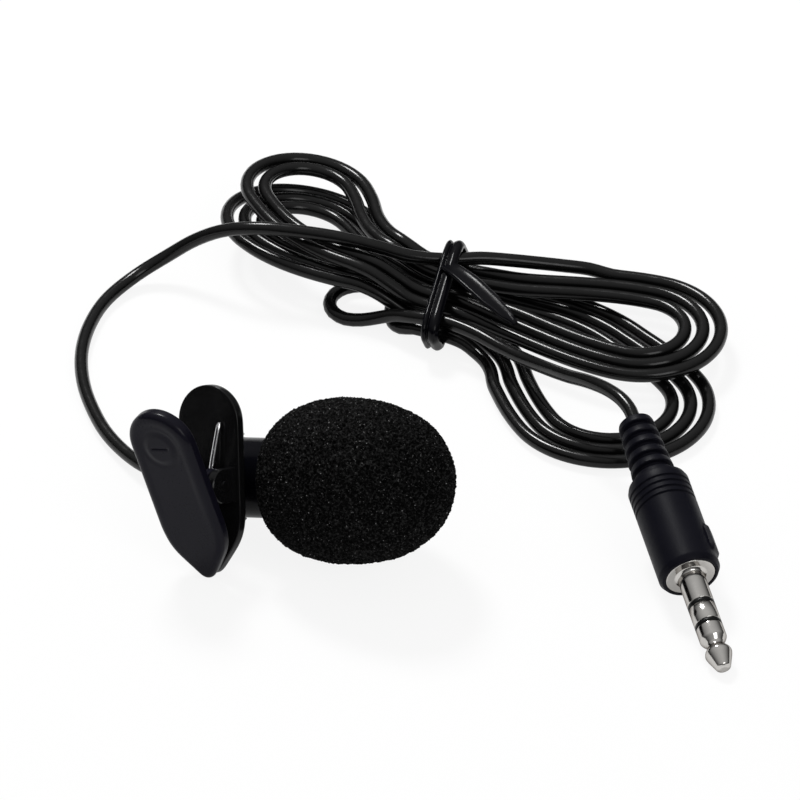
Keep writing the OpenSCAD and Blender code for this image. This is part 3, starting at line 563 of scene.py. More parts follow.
def flat_point(t):
    """Point of turn t before the folds fan out: along the hank, across it, layer share."""
    k = t if t <= HANK_BACK else 2 * HANK_BACK - t
    phase = t - math.floor(t)
    layer = ease((t - HANK_BACK + HANK_CLIMB) / (2 * HANK_CLIMB))
    w = WAIST_W - k * WAIST_STEP
    right = phase < 0.5
    fold = mix(FOLD_RIGHT if right else FOLD_LEFT, layer) - k * FOLD_STEP
    run = mix(RUN_RIGHT if right else RUN_LEFT, layer)
    side = 1 if right else -1
    local = phase if right else phase - 0.5
    hold = 0 if right else LEFT_HOLD
    if local < RUN_SHARE or local > RUN_SHARE + FOLD_SHARE:
        q = (local if local < RUN_SHARE else 0.5 - local) / RUN_SHARE
        out = w + (fold - w) * ease((q - hold) / (1 - hold))
        return side * q * run, side * (out if local < RUN_SHARE else -out), layer
    turn = math.pi * (local - RUN_SHARE) / FOLD_SHARE
    return side * (run + fold * math.sin(turn)), side * fold * math.cos(turn), layer


def fanned(s, y, degrees):
    """Bend of the flat hank's point (s, y) on an arc past the waist."""
    u = abs(s)
    fan = FAN_LEN[1 if s < 0 else 0]
    along = min(max(u - WAIST_FLAT, 0), fan)
    v = math.radians(degrees) * along / fan
    arc_r = fan / math.radians(degrees)
    rest = max(0, u - WAIST_FLAT - fan)
    x = min(u, WAIST_FLAT) + arc_r * math.sin(v) + rest * math.cos(v)
    across = arc_r * (1 - math.cos(v)) + (rest * math.sin(v) + y * math.cos(v))
    return math.copysign(x - y * math.sin(v), s), across


def hank_point(t):
    """Point of turn t on the cord's centre line in the frame."""
    s, y, layer = flat_point(t)
    right = t - math.floor(t) < 0.5
    lift = ease((abs(s) - LIFT_FROM) / LIFT_LEN)
    roll = 0 if right else math.radians(mix(ROLL_LEFT, layer)) * lift
    level = mix(WAIST_Z, layer)
    end_z = mix(RIGHT_Z if right else LEFT_Z, layer)
    degrees = mix(FAN_RIGHT, layer) if right else -mix(FAN_LEFT, layer)
    x, across = fanned(s, y * math.cos(roll), degrees)
    c, n = math.cos(HANK_TURN), math.sin(HANK_TURN)
    height = level + (end_z - level) * lift - y * math.sin(roll)
    return HANK_AT + Vector((x * c - across * n, x * n + across * c, height))


def cord_line():
    """The whole cord's centre line, from the grommet through the hank to the plug."""
    turns = HANK_TO - HANK_FROM
    count = round(turns * HANK_STEPS)
    hank = [hank_point(HANK_FROM + turns * i / count) for i in range(count + 1)]
    into = (hank[1] - hank[0]).normalized()
    out = (hank[-1] - hank[-2]).normalized()
    grommet = at(HEAD, CORD_EXIT) / MM
    grommet_out = HEAD.to_3x3() @ Vector((-1, 0, 0))
    boot = at(PLUG, (0, 0, BOOT_END)) / MM
    boot_out = PLUG.to_3x3() @ Vector((0, 0, 1))
    return smooth_line(
        [grommet, grommet + grommet_out * END_RUN]
        + [Vector(p) for p in MIC_LEAD]
        + [hank[0] - into * END_RUN]
        + hank
        + [hank[-1] + out * END_RUN]
        + [Vector(p) for p in PLUG_LEAD]
        + [boot + boot_out * END_RUN, boot],
        CORD_STEP,
    )


def round_curve(name, line, radius, material):
    """A round tube along a line given in millimetres, as a curve of one spline."""
    curve = bpy.data.curves.new(name, "CURVE")
    curve.dimensions = "3D"
    curve.bevel_depth = radius * MM
    curve.bevel_resolution = CORD_RESOLUTION
    curve.use_fill_caps = True
    spline = curve.splines.new("POLY")
    spline.points.add(len(line) - 1)
    for point, p in zip(spline.points, line):
        point.co = (*(p * MM), 1)
    spline.use_smooth = True
    curve.materials.append(material)
    obj = bpy.data.objects.new(name, curve)
    scene.collection.objects.link(obj)
    return obj


cord = round_curve("microphone_cord", cord_line(), CORD_R, CORD)
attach(cord, "root")
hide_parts("mic_lead", "cord_hank", "plug_lead")


# ---- Clip ----

TAB_H = 12.5
FRONT_TAB_H = 13.2
TIP_DEPTH = 11.5
TIP_R = 1.2
TIP_CLEARANCE = 0.12
TOP_R = 4.65
TAPER_H = 7.7
# Shares of the top's radius and of TAPER_H, for the corners down each side of the taper.
TAPER = [
    (1, 1), (0.97, 0.84), (0.915, 0.69), (0.82, 0.56), (0.7, 0.45), (0.57, 0.35),
    (0.42, 0.25),
]  # fmt: skip
CORNER_R = 0.3
OUTLINE_ROUNDS = 20
# The leaf's inner face and its edge, and the rounded edge of its outer face.
BACK_STEP, BACK_EDGE, BACK_FILLET, BACK_FILLET_STEPS = 0.3, 0.22, 0.2, 5
BEVEL_W, BEVEL_DEPTH, BEVEL_STEPS = 1.0, 0.85, 12
# Limits how fast a point moves inwards where its way runs slantwise to the outline.
LEAST_SLOPE = 0.3
# The front face: a dish inside its rim, and a mark of a low disc, a thin line and a bar.
RIM, RIM_EASE = 1.05, 0.8
DISH, DISH_FROM, DISH_EASE = 0.07, -5, 8
MARK_H, MARK_R = 8.2, 2.2
DISC_RISE, DISC_MORE, DISC_EASE = 0.1, 0.1, 0.7
LINE_DEPTH, LINE_W = 0.05, 0.3
BAR_DEPTH, BAR_W, BAR_HALF, BAR_EASE = 0.16, 0.11, 1.4, 0.25


def jaw_outline(half_count, top):
    """A jaw's outline as (x, z) points, the same on both sides of x = 0."""
    circles = [(0, top - TOP_R, TOP_R), (0, TIP_R - TIP_DEPTH, TIP_R)]
    for width, height in TAPER:
        x, z = TOP_R * width - CORNER_R, TAPER_H * height - TIP_DEPTH
        circles += [(side * x, z, CORNER_R) for side in (-1, 1)]
    right = [p for p in hull_outline(circles) if p.x > TINY]
    right.sort(key=lambda p: -math.atan2(p.y, p.x))
    right = [Vector((0, top))] + right + [Vector((0, -TIP_DEPTH))]
    right = resampled(right, half_count)
    left = [Vector((-p.x, p.y)) for p in reversed(right[1:-1])]
    return relaxed(right + left, OUTLINE_ROUNDS)


def leaf_rings(step):
    """A leaf's rings as (distance inside the outline, y), from the middle of its inner face
    round its edge to the middle of its outer face."""
    count = int((TOP_R - BACK_EDGE) / BACK_STEP)
    inner = [TOP_R - k * BACK_STEP for k in range(count)]
    rings = [(d, 0.0) for d in inner]
    corner = [(inner[-1], 0), (0, 0), (0, JAW_T / 2)]
    rings += filleted(corner, BACK_FILLET, BACK_FILLET_STEPS)[1:]
    for k in range(BEVEL_STEPS + 1):
        a = math.pi / 2 * k / BEVEL_STEPS
        y = JAW_T - BEVEL_DEPTH + BEVEL_DEPTH * math.sin(a)
        rings.append((BEVEL_W * (1 - math.cos(a)), y))
    count = int((TOP_R - RIM) / step)
    return rings + [(RIM + (TOP_R - RIM) * (k + 1) / count, JAW_T) for k in range(count)]


def jaw_leaf(half_count, step, top, face=None):
    """A jaw's leaf between y = 0 and y = JAW_T. Its points move in from the outline towards
    the line between the middles of its round ends. face(x, z, distance) gives how deep the
    outer face lies."""
    outline = jaw_outline(half_count, top)
    foot = [Vector((0, min(max(p.y, TIP_R - TIP_DEPTH), top - TOP_R))) for p in outline]
    powers = []
    for i, p in enumerate(outline):
        to_foot = foot[i] - p
        slope = max(LEAST_SLOPE, abs(square_to(outline, i).dot(to_foot.normalized())))
        powers.append(max(1, TOP_R / (to_foot.length * slope)))
    made = []
    for d, y in leaf_rings(step):
        ring = []
        for p, f, power in zip(outline, foot, powers):
            q = p.lerp(f, 1 - (1 - min(1, d / TOP_R)) ** power)
            depth = face(q.x, q.y, d) if face and y > JAW_T / 2 else 0
            ring.append((q.x, y - depth, q.y))
        made.append(ring)
    verts, faces = skin(made)
    return verts, faces[:-2]


def front_face(x, z, distance):
    """Depth of the front jaw's face, with its dish and its mark."""
    dish = DISH * ease((distance - RIM) / RIM_EASE) * ease((z - DISH_FROM) / DISH_EASE)
    r = math.hypot(x, z - MARK_H)
    line = LINE_DEPTH * math.exp(-(((r - MARK_R - LINE_W) / LINE_W) ** 2))
    bar = BAR_DEPTH * math.exp(-(((z - MARK_H) / BAR_W) ** 2))
    bar *= ease((BAR_HALF - abs(x)) / BAR_EASE)
    return dish + line + bar - DISC_RISE * ease((MARK_R + DISC_MORE - r) / DISC_EASE)


def front_place(p):
    """A jaw point turned to the front jaw's rest, kept off the rear jaw's face at its tip."""
    turn = Matrix.Rotation(math.radians(JAW_ANGLE), 3, "X")
    turned = turn @ Vector((p[0], -JAW_GAP - p[1], p[2]))
    if turned.z < 0:
        turned.y = min(turned.y, JAW_GAP - TIP_CLEARANCE)
    return turned


verts, faces = jaw_leaf(half_count=210, step=0.1, top=FRONT_TAB_H, face=front_face)
leaf = [front_place(p) for p in verts], faces
piece("front_jaw_leaf", leaf, HEAD, "front_clip", CLIP, ["front_jaw"])
# The rear jaw is the same plastic as the front one, darkened with painted shade.
verts, faces = jaw_leaf(half_count=150, step=0.3, top=TAB_H)
leaf = [(x, JAW_GAP + y, z) for x, y, z in verts], faces
piece("rear_jaw_leaf", leaf, HEAD, "root", CLIP_IN_SHADE, ["rear_jaw"])

LUG_R = 2.2
LUG_T = 1.1
LUG_EDGE = 0.13
LUG_SINK = 0.1
LUG_SIDES = 72
PIN_R = 0.65
PIN_CLEARANCE = 0.08
FRONT_LUG_X = 1.75
REAR_LUG_X = 3.0


def lug(from_x, bore, side):
    """A lug round the hinge pin, reaching to the leaf on the given side."""
    e = LUG_EDGE
    reach = JAW_GAP + LUG_SINK
    x0, x1 = from_x, from_x + LUG_T
    rings = []
    for k in range(LUG_SIDES):
        a = FULL_TURN * k / LUG_SIDES
        c, s = math.cos(a), math.sin(a)
        outer = LUG_R if c <= 0 else min(reach / c, LUG_R / abs(s) if s else reach / c)
        outline = [
            (bore, x0), (outer - e, x0), (outer, x0 + e),
            (outer, x1 - e), (outer - e, x1), (bore, x1),
        ]  # fmt: skip
        rings.append([(x, side * r * c, r * s) for r, x in outline])
    return skin(rings, closed=True)


for i, x in enumerate((FRONT_LUG_X, -FRONT_LUG_X - LUG_T)):
    shape = lug(x, PIN_R + PIN_CLEARANCE, -1)
    piece(f"front_lug_{i + 1}", shape, FRONT, "front_clip", CLIP)
# The rear lugs take the clip plastic darkened with painted shade.
for i, x in enumerate((REAR_LUG_X, -REAR_LUG_X - LUG_T)):
    piece(f"rear_lug_{i + 1}", lug(x, PIN_R, 1), HEAD, "root", CLIP_IN_SHADE)

CRADLE_FROM, CRADLE_LEN = -4.0, 2.4
CRADLE_IN, CRADLE_WALL, CRADLE_REACH = 5.18, 0.7, 1.2
CRADLE_EDGE, CRADLE_STEPS = 0.18, 72
LIP_STEPS, LIP_SHARE = 3, 0.55
WEB_W_SHARE, WEB_SINK, WEB_ROOT, WEB_STEPS = 0.6, 0.3, 0.4, 16


def round_barrel(x, r, a):
    """A point of the head at radius r and angle a round the barrel's axis."""
    return x, BARREL_AXIS[1] + r * math.cos(a), BARREL_AXIS[2] + r * math.sin(a)


def cradle():
    """The open snap ring that holds the barrel, thinner towards its lips."""
    lip = math.acos(CRADLE_REACH / CRADLE_IN)
    middle = CRADLE_IN + CRADLE_WALL / 2
    x0, x1, e = CRADLE_FROM, CRADLE_FROM + CRADLE_LEN, CRADLE_EDGE
    rings = []
    for k in range(CRADLE_STEPS + 1):
        a = lip + (FULL_TURN - 2 * lip) * k / CRADLE_STEPS
        near_lip = clamp(min(k, CRADLE_STEPS - k) / LIP_STEPS)
        thick = CRADLE_WALL / 2 * (LIP_SHARE + (1 - LIP_SHARE) * math.sqrt(near_lip))
        outline = [
            (x0, -thick + e), (x0 + e, -thick), (x1 - e, -thick), (x1, -thick + e),
            (x1, thick - e), (x1 - e, thick), (x0 + e, thick), (x0, thick - e),
        ]  # fmt: skip
        rings.append([round_barrel(x, middle + r, a) for x, r in outline])
    return skin(rings)


def cradle_web():
    """The block that joins the snap ring to the jaw."""
    r = CRADLE_IN + WEB_SINK
    half = math.asin(WEB_W_SHARE * (CRADLE_IN + CRADLE_WALL) / r)
    base = JAW_GAP + JAW_T - WEB_ROOT
    rings = []
    for x in (CRADLE_FROM, CRADLE_FROM + CRADLE_LEN):
        angles = [math.pi - half + 2 * half * k / WEB_STEPS for k in range(WEB_STEPS + 1)]
        arc = [round_barrel(x, r, a) for a in angles]
        rings.append([(x, base, arc[0][2])] + arc + [(x, base, arc[-1][2])])
    return skin(rings)


# The snap ring and its web take the clip plastic darkened with painted shade.
piece("barrel_snap_ring", cradle(), HEAD, "root", CLIP_IN_SHADE)
piece("snap_ring_web", cradle_web(), HEAD, "root", CLIP_IN_SHADE)

WIRE_R = 0.35
WIRE_STEP = 0.35
WIRE_SIDES = 16
WIRE_END_SHARES = (0.55, 0.85, 1.0)
COIL_R = 1.3
COIL_PITCH = 0.97
COIL_TURNS = 2
COIL_STEPS = 72
LEG_H = 7.8
LEG_SPLAY = (0.9, 0.3)
LEG_CLEARANCE = 0.03
# Where a leg leaves the coil: how far outside it, and how high.
LEG_OUT, LEG_FROM = 0.12, 1.6


def spring_line():
    """Leg up the rear jaw, coil round the pin, leg up the front jaw."""
    sweep = math.radians(COIL_TURNS * 360 + 180 - JAW_ANGLE)
    half = COIL_PITCH * sweep / (2 * FULL_TURN)
    reach = JAW_GAP - WIRE_R - LEG_CLEARANCE
    tilt = Matrix.Rotation(math.radians(JAW_ANGLE), 3, "X")
    coil = []
    for k in range(COIL_STEPS + 1):
        a = -sweep * k / COIL_STEPS
        x = half - 2 * half * k / COIL_STEPS
        coil.append(Vector((x, COIL_R * math.cos(a), COIL_R * math.sin(a))))
    rear = [
        Vector((half + LEG_SPLAY[0], reach, LEG_H)),
        Vector((half, COIL_R + LEG_OUT, LEG_FROM)),
    ]
    front = [
        Vector((-half, -COIL_R - LEG_OUT, LEG_FROM)),
        Vector((-half - LEG_SPLAY[1], -reach, LEG_H)),
    ]
    return rear + coil + [tilt @ p for p in front]


def spring_wire():
    """The spring's wire, thinner at its cut ends."""
    path = smooth_line(spring_line(), WIRE_STEP)

    def section(i):
        near = min(i, len(path) - 1 - i, len(WIRE_END_SHARES) - 1)
        return circle(WIRE_R * WIRE_END_SHARES[near], WIRE_SIDES)

    return swept(path, section, (1, 0, 0))


spring = piece(
    "spring_wire", spring_wire(), HEAD, None, STEEL, ["torsion_spring"]
)
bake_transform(spring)


# ---- Windscreen ----

FOAM_LEN = 22.9
FOAM_R = 10.4
FOAM_FROM = 6.5
FOAM_WIDE = 0.37
FOAM_REAR = 1.38
FOAM_BLUNT = 2.3
FOAM_CLEARANCE = 0.05
FOAM_BORE = BARREL_R + FOAM_CLEARANCE
FOAM_AIR = 0.3
FOAM_STEP = 0.16
FOAM_STEPS = 600
# The bore's mouth: its depth and how much wider it gets.
MOUTH_DEPTH, MOUTH_MORE = 0.6, 0.06
BORE_END_SHARE, BORE_MARGIN = 0.6, 0.1
# The cells: their size, the share of a cell that its wall takes, and how deep and proud they
# are, with the sizes and heights of the lumps under them. They fade out at the bore's mouth.
CELL, CELL_WALL, CELL_DEPTH, CELL_PROUD = 0.58, 0.5, 0.42, 0.1
LUMPS = [(2.6, 0.12), (0.35, 0.16)]
FADE_LEN, FADE_SHARE = 0.5, 0.35


def foam_radius(x):
    """Radius of the windscreen at x from its rear end, blunter than an ellipse."""
    c = FOAM_WIDE * FOAM_LEN
    share = (c - x) / (c * FOAM_REAR) if x < c else (x - c) / (FOAM_LEN - c)
    return FOAM_R * max(0, 1 - share**FOAM_BLUNT) ** (1 / FOAM_BLUNT)


def foam_profile(end):
    """The windscreen's profile: the bore from its closed end, the mouth and the outside."""
    shares = [(1 - math.cos(math.pi * k / FOAM_STEPS)) / 2 for k in range(FOAM_STEPS + 1)]
    dense = [Vector((foam_radius(FOAM_LEN * share), FOAM_LEN * share)) for share in shares]
    length = sum((b - a).length for a, b in zip(dense, dense[1:]))
    outside = resampled(dense, int(length / FOAM_STEP))
    profile = [(0, end), (FOAM_BORE * BORE_END_SHARE, end), (FOAM_BORE, end)]
    profile += [(FOAM_BORE, end / 2), (FOAM_BORE, MOUTH_DEPTH), (FOAM_BORE + MOUTH_MORE, 0)]
    profile += [(p.x, p.y) for p in outside[:-1]] + [(0, FOAM_LEN)]
    return [(r, z + FOAM_FROM) for r, z in profile]


def foam():
    """The windscreen with its bore, its outer surface broken into open cells."""
    end = BARREL_FRONT + FOAM_AIR - FOAM_FROM
    verts, faces = lathe(foam_profile(end), int(FULL_TURN * FOAM_R / FOAM_STEP))
    middle = Vector((0, 0, FOAM_FROM + FOAM_WIDE * FOAM_LEN))
    bore_end = FOAM_FROM + end + BORE_MARGIN
    made = []
    for v in verts:
        p = Vector(v)
        if math.hypot(p.x, p.y) >= FOAM_BORE + BORE_MARGIN or p.z >= bore_end:
            near = noise.voronoi(p / CELL)[0]
            open_cell = ease((near[1] - near[0]) / CELL_WALL)
            lump = sum(noise.noise(p / size) * height for size, height in LUMPS)
            fade = FADE_SHARE + (1 - FADE_SHARE) * ease((p.z - FOAM_FROM) / FADE_LEN)
            proud = (lump + CELL_PROUD - CELL_DEPTH * open_cell) * fade
            p += (p - middle).normalized() * proud
        made.append(p)
    return made, faces


windscreen = piece(
    "foam_windscreen_cover",
    foam(),
    BARREL,
    "windscreen",
    FOAM,
    ["foam_windscreen"],
    sharp=ALL_SMOOTH,
)


# ---- Twist tie ----

TIE_W = 2.4
TIE_T = 0.7
TIE_RIDGE = 0.25
TIE_CLEARANCE = 0.15
TIE_SKEW = math.radians(8)
TIE_SPREAD = 1.07
TIE_STEPS, TIE_ROUNDS = 160, 4
TIE_FILLET, TIE_FILLET_STEPS, TIE_SHARP = 0.14, 3, 60
# The cords that the band goes round, as (across, height) at the hank's waist.
TIE_STACK = [
    (-WAIST_W - WAIST_STEP / 2, WAIST_Z[1]), (WAIST_W + 0.3, WAIST_Z[1]),
    (WAIST_W - WAIST_STEP + 0.3, WAIST_Z[0] + 0.1),
    (1.2, 7.25), (2.8, 7.25), (-9.6, 4.5), (-8.7, 4.9),
]  # fmt: skip
TAIL = [
    (19.4, 50.6, 8.3), (20.6, 48.7, 8.85), (22.6, 46, 8.9), (24.7, 43.2, 8.5),
    (26.7, 40.7, 8), (28.4, 38.5, 7.5),
]  # fmt: skip
TAIL_HALF_W = [1, 1.2, 1.35, 1.3, 1, 0.45]
TAIL_STEP = 0.4
TAIL_ROOT_SHARE, TAIL_TIP_SHARE = 0.6, 0.5


def tie_section():
    """The band's outline as (along the hank, out): two rounded ribs with a groove between."""
    half = TIE_W / 2
    top = TIE_T + TIE_RIDGE
    corners = [
        (0, 0.02), (-half, 0.02), (-half, 0.45), (-half + 0.12, TIE_T), (-0.8, top - 0.06),
        (-0.5, TIE_T + 0.02), (-0.36, TIE_T - 0.22), (-0.2, TIE_T), (0.1, top - 0.08),
        (0.45, top + 0.02), (0.8, top - 0.08), (half - 0.1, TIE_T - 0.1), (half, 0.45),
        (half, 0.02), (0, 0.02),
    ]  # fmt: skip
    return filleted(corners, TIE_FILLET, TIE_FILLET_STEPS)[:-1]


def tie_band():
    """The band round the hank's waist."""
    outline = hull_outline([(x, y, CORD_R + TIE_CLEARANCE) for x, y in TIE_STACK])
    loop = relaxed(resampled(outline + outline[:1], TIE_STEPS)[:-1], TIE_ROUNDS)
    turn = HANK_TURN + TIE_SKEW
    across = Vector((-math.sin(turn), math.cos(turn), 0)) * TIE_SPREAD
    along = Vector((math.cos(turn), math.sin(turn), 0))
    section = tie_section()
    rings = []
    for i, p in enumerate(loop):
        out = square_to(loop, i)
        ring = []
        for w, h in section:
            q = p + out * h
            ring.append(HANK_AT + across * q.x + Vector((0, 0, q.y)) + along * w)
        rings.append(ring)
    return skin(rings, closed=True)


def tail_blade():
    """The tie's free end: a blade with a raised edge on each side, thinner at its tip."""
    path = smooth_line([Vector(p) for p in TAIL], TAIL_STEP)
    count = len(path) - 1

    def section(i):
        place = i / count * (len(TAIL_HALF_W) - 1)
        k = min(int(place), len(TAIL_HALF_W) - 2)
        w = mix(TAIL_HALF_W[k : k + 2], ease(place - k))
        t = TIE_T / 2
        t *= TAIL_ROOT_SHARE if i == 0 else TAIL_TIP_SHARE if i == count else 1
        return [
            (w, 0), (w * 0.93, t * 0.75), (w * 0.75, t), (w * 0.5, t * 0.7), (0, t * 0.6),
            (-w * 0.5, t * 0.7), (-w * 0.75, t), (-w * 0.93, t * 0.75), (-w, 0),
            (-w * 0.9, -t * 0.7), (-w * 0.5, -t * 0.8), (0, -t * 0.8), (w * 0.5, -t * 0.8),
            (w * 0.9, -t * 0.7),
        ]  # fmt: skip

    return swept(path, section, (1, 1, 0))


band = piece(
    "tie_band", tie_band(), HERE, "root", TIE, ["twist_tie"], sharp=TIE_SHARP
)
tail = piece("tie_tail", tail_blade(), HERE, "root", TIE, sharp=TIE_SHARP)


# ---- Plug ----

JACK_R = 1.75
TIP_LEN = 6.6
RING_LEN = 2.6
INSULATOR_W = 0.6
ROD_R = 0.45
TUBE_WALL = 0.3
TUBE_STEP = 0.9
METAL_EDGE = 0.07
METAL_FILLET, METAL_FILLET_STEPS, METAL_SHARP = 0.12, 3, 50
COLLAR_R = 3.2
COLLAR_T = 0.8
RING_FROM = TIP_LEN + INSULATOR_W
SLEEVE_FROM = RING_FROM + RING_LEN + INSULATOR_W
SLEEVE_ROOT_LEN = 1.7
SLEEVE_END = BODY_FROM + COLLAR_T + SLEEVE_ROOT_LEN
SLEEVE_ROOT_R = 2.1
ROD_PROUD = 0.8
ROD_END = SLEEVE_END + 3 * TUBE_STEP + ROD_PROUD
RING_TUBE, RING_SLEEVE, SLEEVE_BORE = (ROD_R + TUBE_WALL * k for k in (1, 2, 3))

MOULD_R = 3.0
MOULD_LEN = 11
NECK_R = 2.2
FLANGE_T = 2
CAVITY_PLAY = 0.5
CAVITY_END = BODY_FROM + COLLAR_T + MOULD_LEN + FLANGE_T + CAVITY_PLAY
BODY_R = 4.0
BODY_EDGE = 0.7
BODY_SEGMENTS = 144
# The plain stretch of the body's profile: its ends, from the body's own, and its step.
PLAIN_FROM, PLAIN_TO, PLAIN_STEP = 0.9, 5.0, 0.22
# The rings moulded into the body's upper end.
RING_COUNT, RING_PITCH, RING_DEPTH, RING_W, RING_INSET = 4, 0.9, 0.2, 0.3, 1.2
LAST_RING = BODY_END - BODY_EDGE - RING_INSET
# The grip pad, with the widths over which its edges rise, the angle out to which its top is
# flat, and how far inside the body's radius the profile still carries it.
PAD_FROM, PAD_LEN, PAD_W, PAD_H = 1.1, 4.4, 2.6, 0.35
PAD_SIDE = math.radians(250)
PAD_MIDDLE = BODY_FROM + BODY_EDGE + PAD_FROM + PAD_LEN / 2
PAD_SIDE_MORE, PAD_SIDE_EASE = 0.15, 0.3
PAD_END_MORE, PAD_END_EASE = 0.2, 1.1
PAD_FLAT, PAD_INSIDE = 0.35, 0.5

BOOT_R = 2.9
BOOT_END_R = 2.3
BOOT_PLAY = 0.01
# The boot's ribs, with the first groove's distance from the body and the plain length.
RIBS, RIBS_FROM, BOOT_PLAIN = 5, 1, 1.2
RIB_STEP = (BOOT_END - BODY_END - BOOT_PLAIN) / RIBS
RIB_GAP_SHARE, RIB_DEPTH = 0.42, 0.5


def plug_piece(name, shape, material, cad, sharp=SHARP):
    return piece(name, shape, PLUG, "root", material, [cad], sharp)


def contact(name, start, length, bore, tube, tube_end, material, cad):
    """A contact or an insulator of the shaft, with the tube that runs back inside it."""
    e = METAL_EDGE
    end = start + length
    profile = [
        (bore, start), (JACK_R - e, start), (JACK_R, start + e),
        (JACK_R, end - e), (JACK_R - e, end), (tube, end), (tube, tube_end), (bore, tube_end),
    ]  # fmt: skip
    return plug_piece(name, closed_lathe(profile), material, cad, METAL_SHARP)


def tip_profile():
    """The plug's tip with its neck, and the rod that runs back from it."""
    e = METAL_EDGE
    corners = [
        (0, 0), (0.55, 0.02), (0.95, 0.28), (1.62, 2.0), (JACK_R, 2.5), (JACK_R - 0.1, 2.85),
        (1.2, 3.5), (1.2, 3.95), (JACK_R - 0.1, 4.62), (JACK_R, 4.85), (JACK_R, TIP_LEN - e),
        (JACK_R - e, TIP_LEN), (ROD_R, TIP_LEN), (ROD_R, ROD_END), (0, ROD_END),
    ]  # fmt: skip
    return filleted(corners, METAL_FILLET, METAL_FILLET_STEPS)


def sleeve_profile():
    """The sleeve contact with its collar, and the root that the body grips."""
    e = METAL_EDGE
    collar_end = BODY_FROM + COLLAR_T
    corners = [
        (SLEEVE_BORE, SLEEVE_FROM), (JACK_R - e, SLEEVE_FROM), (JACK_R, SLEEVE_FROM + e),
        (JACK_R, BODY_FROM - 0.35), (JACK_R + 0.35, BODY_FROM), (COLLAR_R, BODY_FROM),
        (COLLAR_R, collar_end), (SLEEVE_ROOT_R, collar_end), (SLEEVE_ROOT_R, SLEEVE_END),
        (SLEEVE_BORE, SLEEVE_END),
    ]  # fmt: skip
    return filleted(corners, METAL_FILLET, METAL_FILLET_STEPS)


def body_bump(angle, z, r):
    """Height of the grip pad on the plug's body."""
    if r < BODY_R - PAD_INSIDE:
        return 0.0
    off = abs(angle - PAD_SIDE) * BODY_R
    across = ease((PAD_W / 2 + PAD_SIDE_MORE - off) / PAD_SIDE_EASE)
    along = ease((PAD_LEN / 2 + PAD_END_MORE - abs(z - PAD_MIDDLE)) / PAD_END_EASE)
    flat = BODY_R - BODY_R * math.cos(min(off / BODY_R, PAD_FLAT))
    return (PAD_H + flat) * across * along


def body_profile():
    """The plug's body from its lower edge, past its rings, and back through its cavity."""
    profile = [
        (COLLAR_R + 0.03, BODY_FROM + COLLAR_T), (COLLAR_R + 0.03, BODY_FROM + 0.05),
        (COLLAR_R + 0.2, BODY_FROM - 0.05), (BODY_R - 0.35, BODY_FROM),
        (BODY_R, BODY_FROM + 0.6),
    ]  # fmt: skip
    z = BODY_FROM + PLAIN_FROM
    while z < BODY_END - PLAIN_TO:
        profile.append((BODY_R, z))
        z += PLAIN_STEP
    groove = BODY_R - RING_DEPTH
    for k in reversed(range(RING_COUNT)):
        g = LAST_RING - k * RING_PITCH
        profile += [
            (BODY_R, g - 0.06), (groove + 0.03, g + 0.04), (groove, g + RING_W / 2),
            (groove + 0.03, g + RING_W - 0.04), (BODY_R, g + RING_W + 0.06),
        ]  # fmt: skip
    return profile + [
        (BODY_R, BODY_END - 0.75), (BODY_R - 0.2, BODY_END - 0.22), (BODY_R - 0.65, BODY_END),
        (NECK_R, BODY_END), (NECK_R, CAVITY_END), (MOULD_R, CAVITY_END),
        (MOULD_R, BODY_FROM + COLLAR_T),
    ]  # fmt: skip


def boot_profile():
    """The ribbed strain relief, with its neck and flange inside the body."""
    flange_r, flange = MOULD_R - 0.02, CAVITY_END - FLANGE_T
    bore = CORD_R + BOOT_PLAY
    profile = [
        (bore, flange), (flange_r, flange), (flange_r, CAVITY_END), (NECK_R, CAVITY_END),
        (NECK_R, BODY_END), (BOOT_R, BODY_END),
    ]  # fmt: skip
    w = RIB_STEP * RIB_GAP_SHARE
    for k in range(RIBS):
        z = BODY_END + RIBS_FROM + k * RIB_STEP
        r = mix((BOOT_R, BOOT_END_R), (z + w / 2 - BODY_END) / (BOOT_END - BODY_END))
        groove = r - RIB_DEPTH
        profile += [
            (r, z - 0.14), (r - 0.08, z - 0.02), (groove, z + 0.08), (groove - 0.05, z + w / 2),
            (groove, z + w - 0.08), (r - 0.1, z + w + 0.02), (r - 0.02, z + w + 0.14),
        ]  # fmt: skip
    return profile + [
        (BOOT_END_R, BOOT_END - 0.5), (BOOT_END_R - 0.1, BOOT_END - 0.2),
        (BOOT_END_R - 0.4, BOOT_END), (bore, BOOT_END),
    ]  # fmt: skip


plug_pieces = [
    plug_piece("tip_contact", lathe(tip_profile()), NICKEL, "plug_tip", METAL_SHARP),
    contact(
        "tip_insulator_ring", TIP_LEN, INSULATOR_W, ROD_R, RING_TUBE,
        SLEEVE_END + 3 * TUBE_STEP, INSULATOR, "tip_insulator",
    ),
    contact(
        "ring_contact", RING_FROM, RING_LEN, RING_TUBE, RING_SLEEVE,
        SLEEVE_END + 2 * TUBE_STEP, NICKEL, "plug_ring",
    ),
    contact(
        "sleeve_insulator_ring", RING_FROM + RING_LEN, INSULATOR_W, RING_SLEEVE, SLEEVE_BORE,
        SLEEVE_END + TUBE_STEP, INSULATOR, "ring_insulator",
    ),
    plug_piece(
        "sleeve_contact", closed_lathe(sleeve_profile()), NICKEL, "plug_sleeve",
        METAL_SHARP,
    ),
    plug_piece(
        "plug_shell", closed_lathe(body_profile(), BODY_SEGMENTS, body_bump), PLUG_PVC,
        "plug_body",
    ),
    plug_piece(
        "ribbed_strain_relief", closed_lathe(boot_profile()), PLUG_PVC,
        "plug_strain_relief",
    ),
]  # fmt: skip


# ---- CAD nodes that stay ----

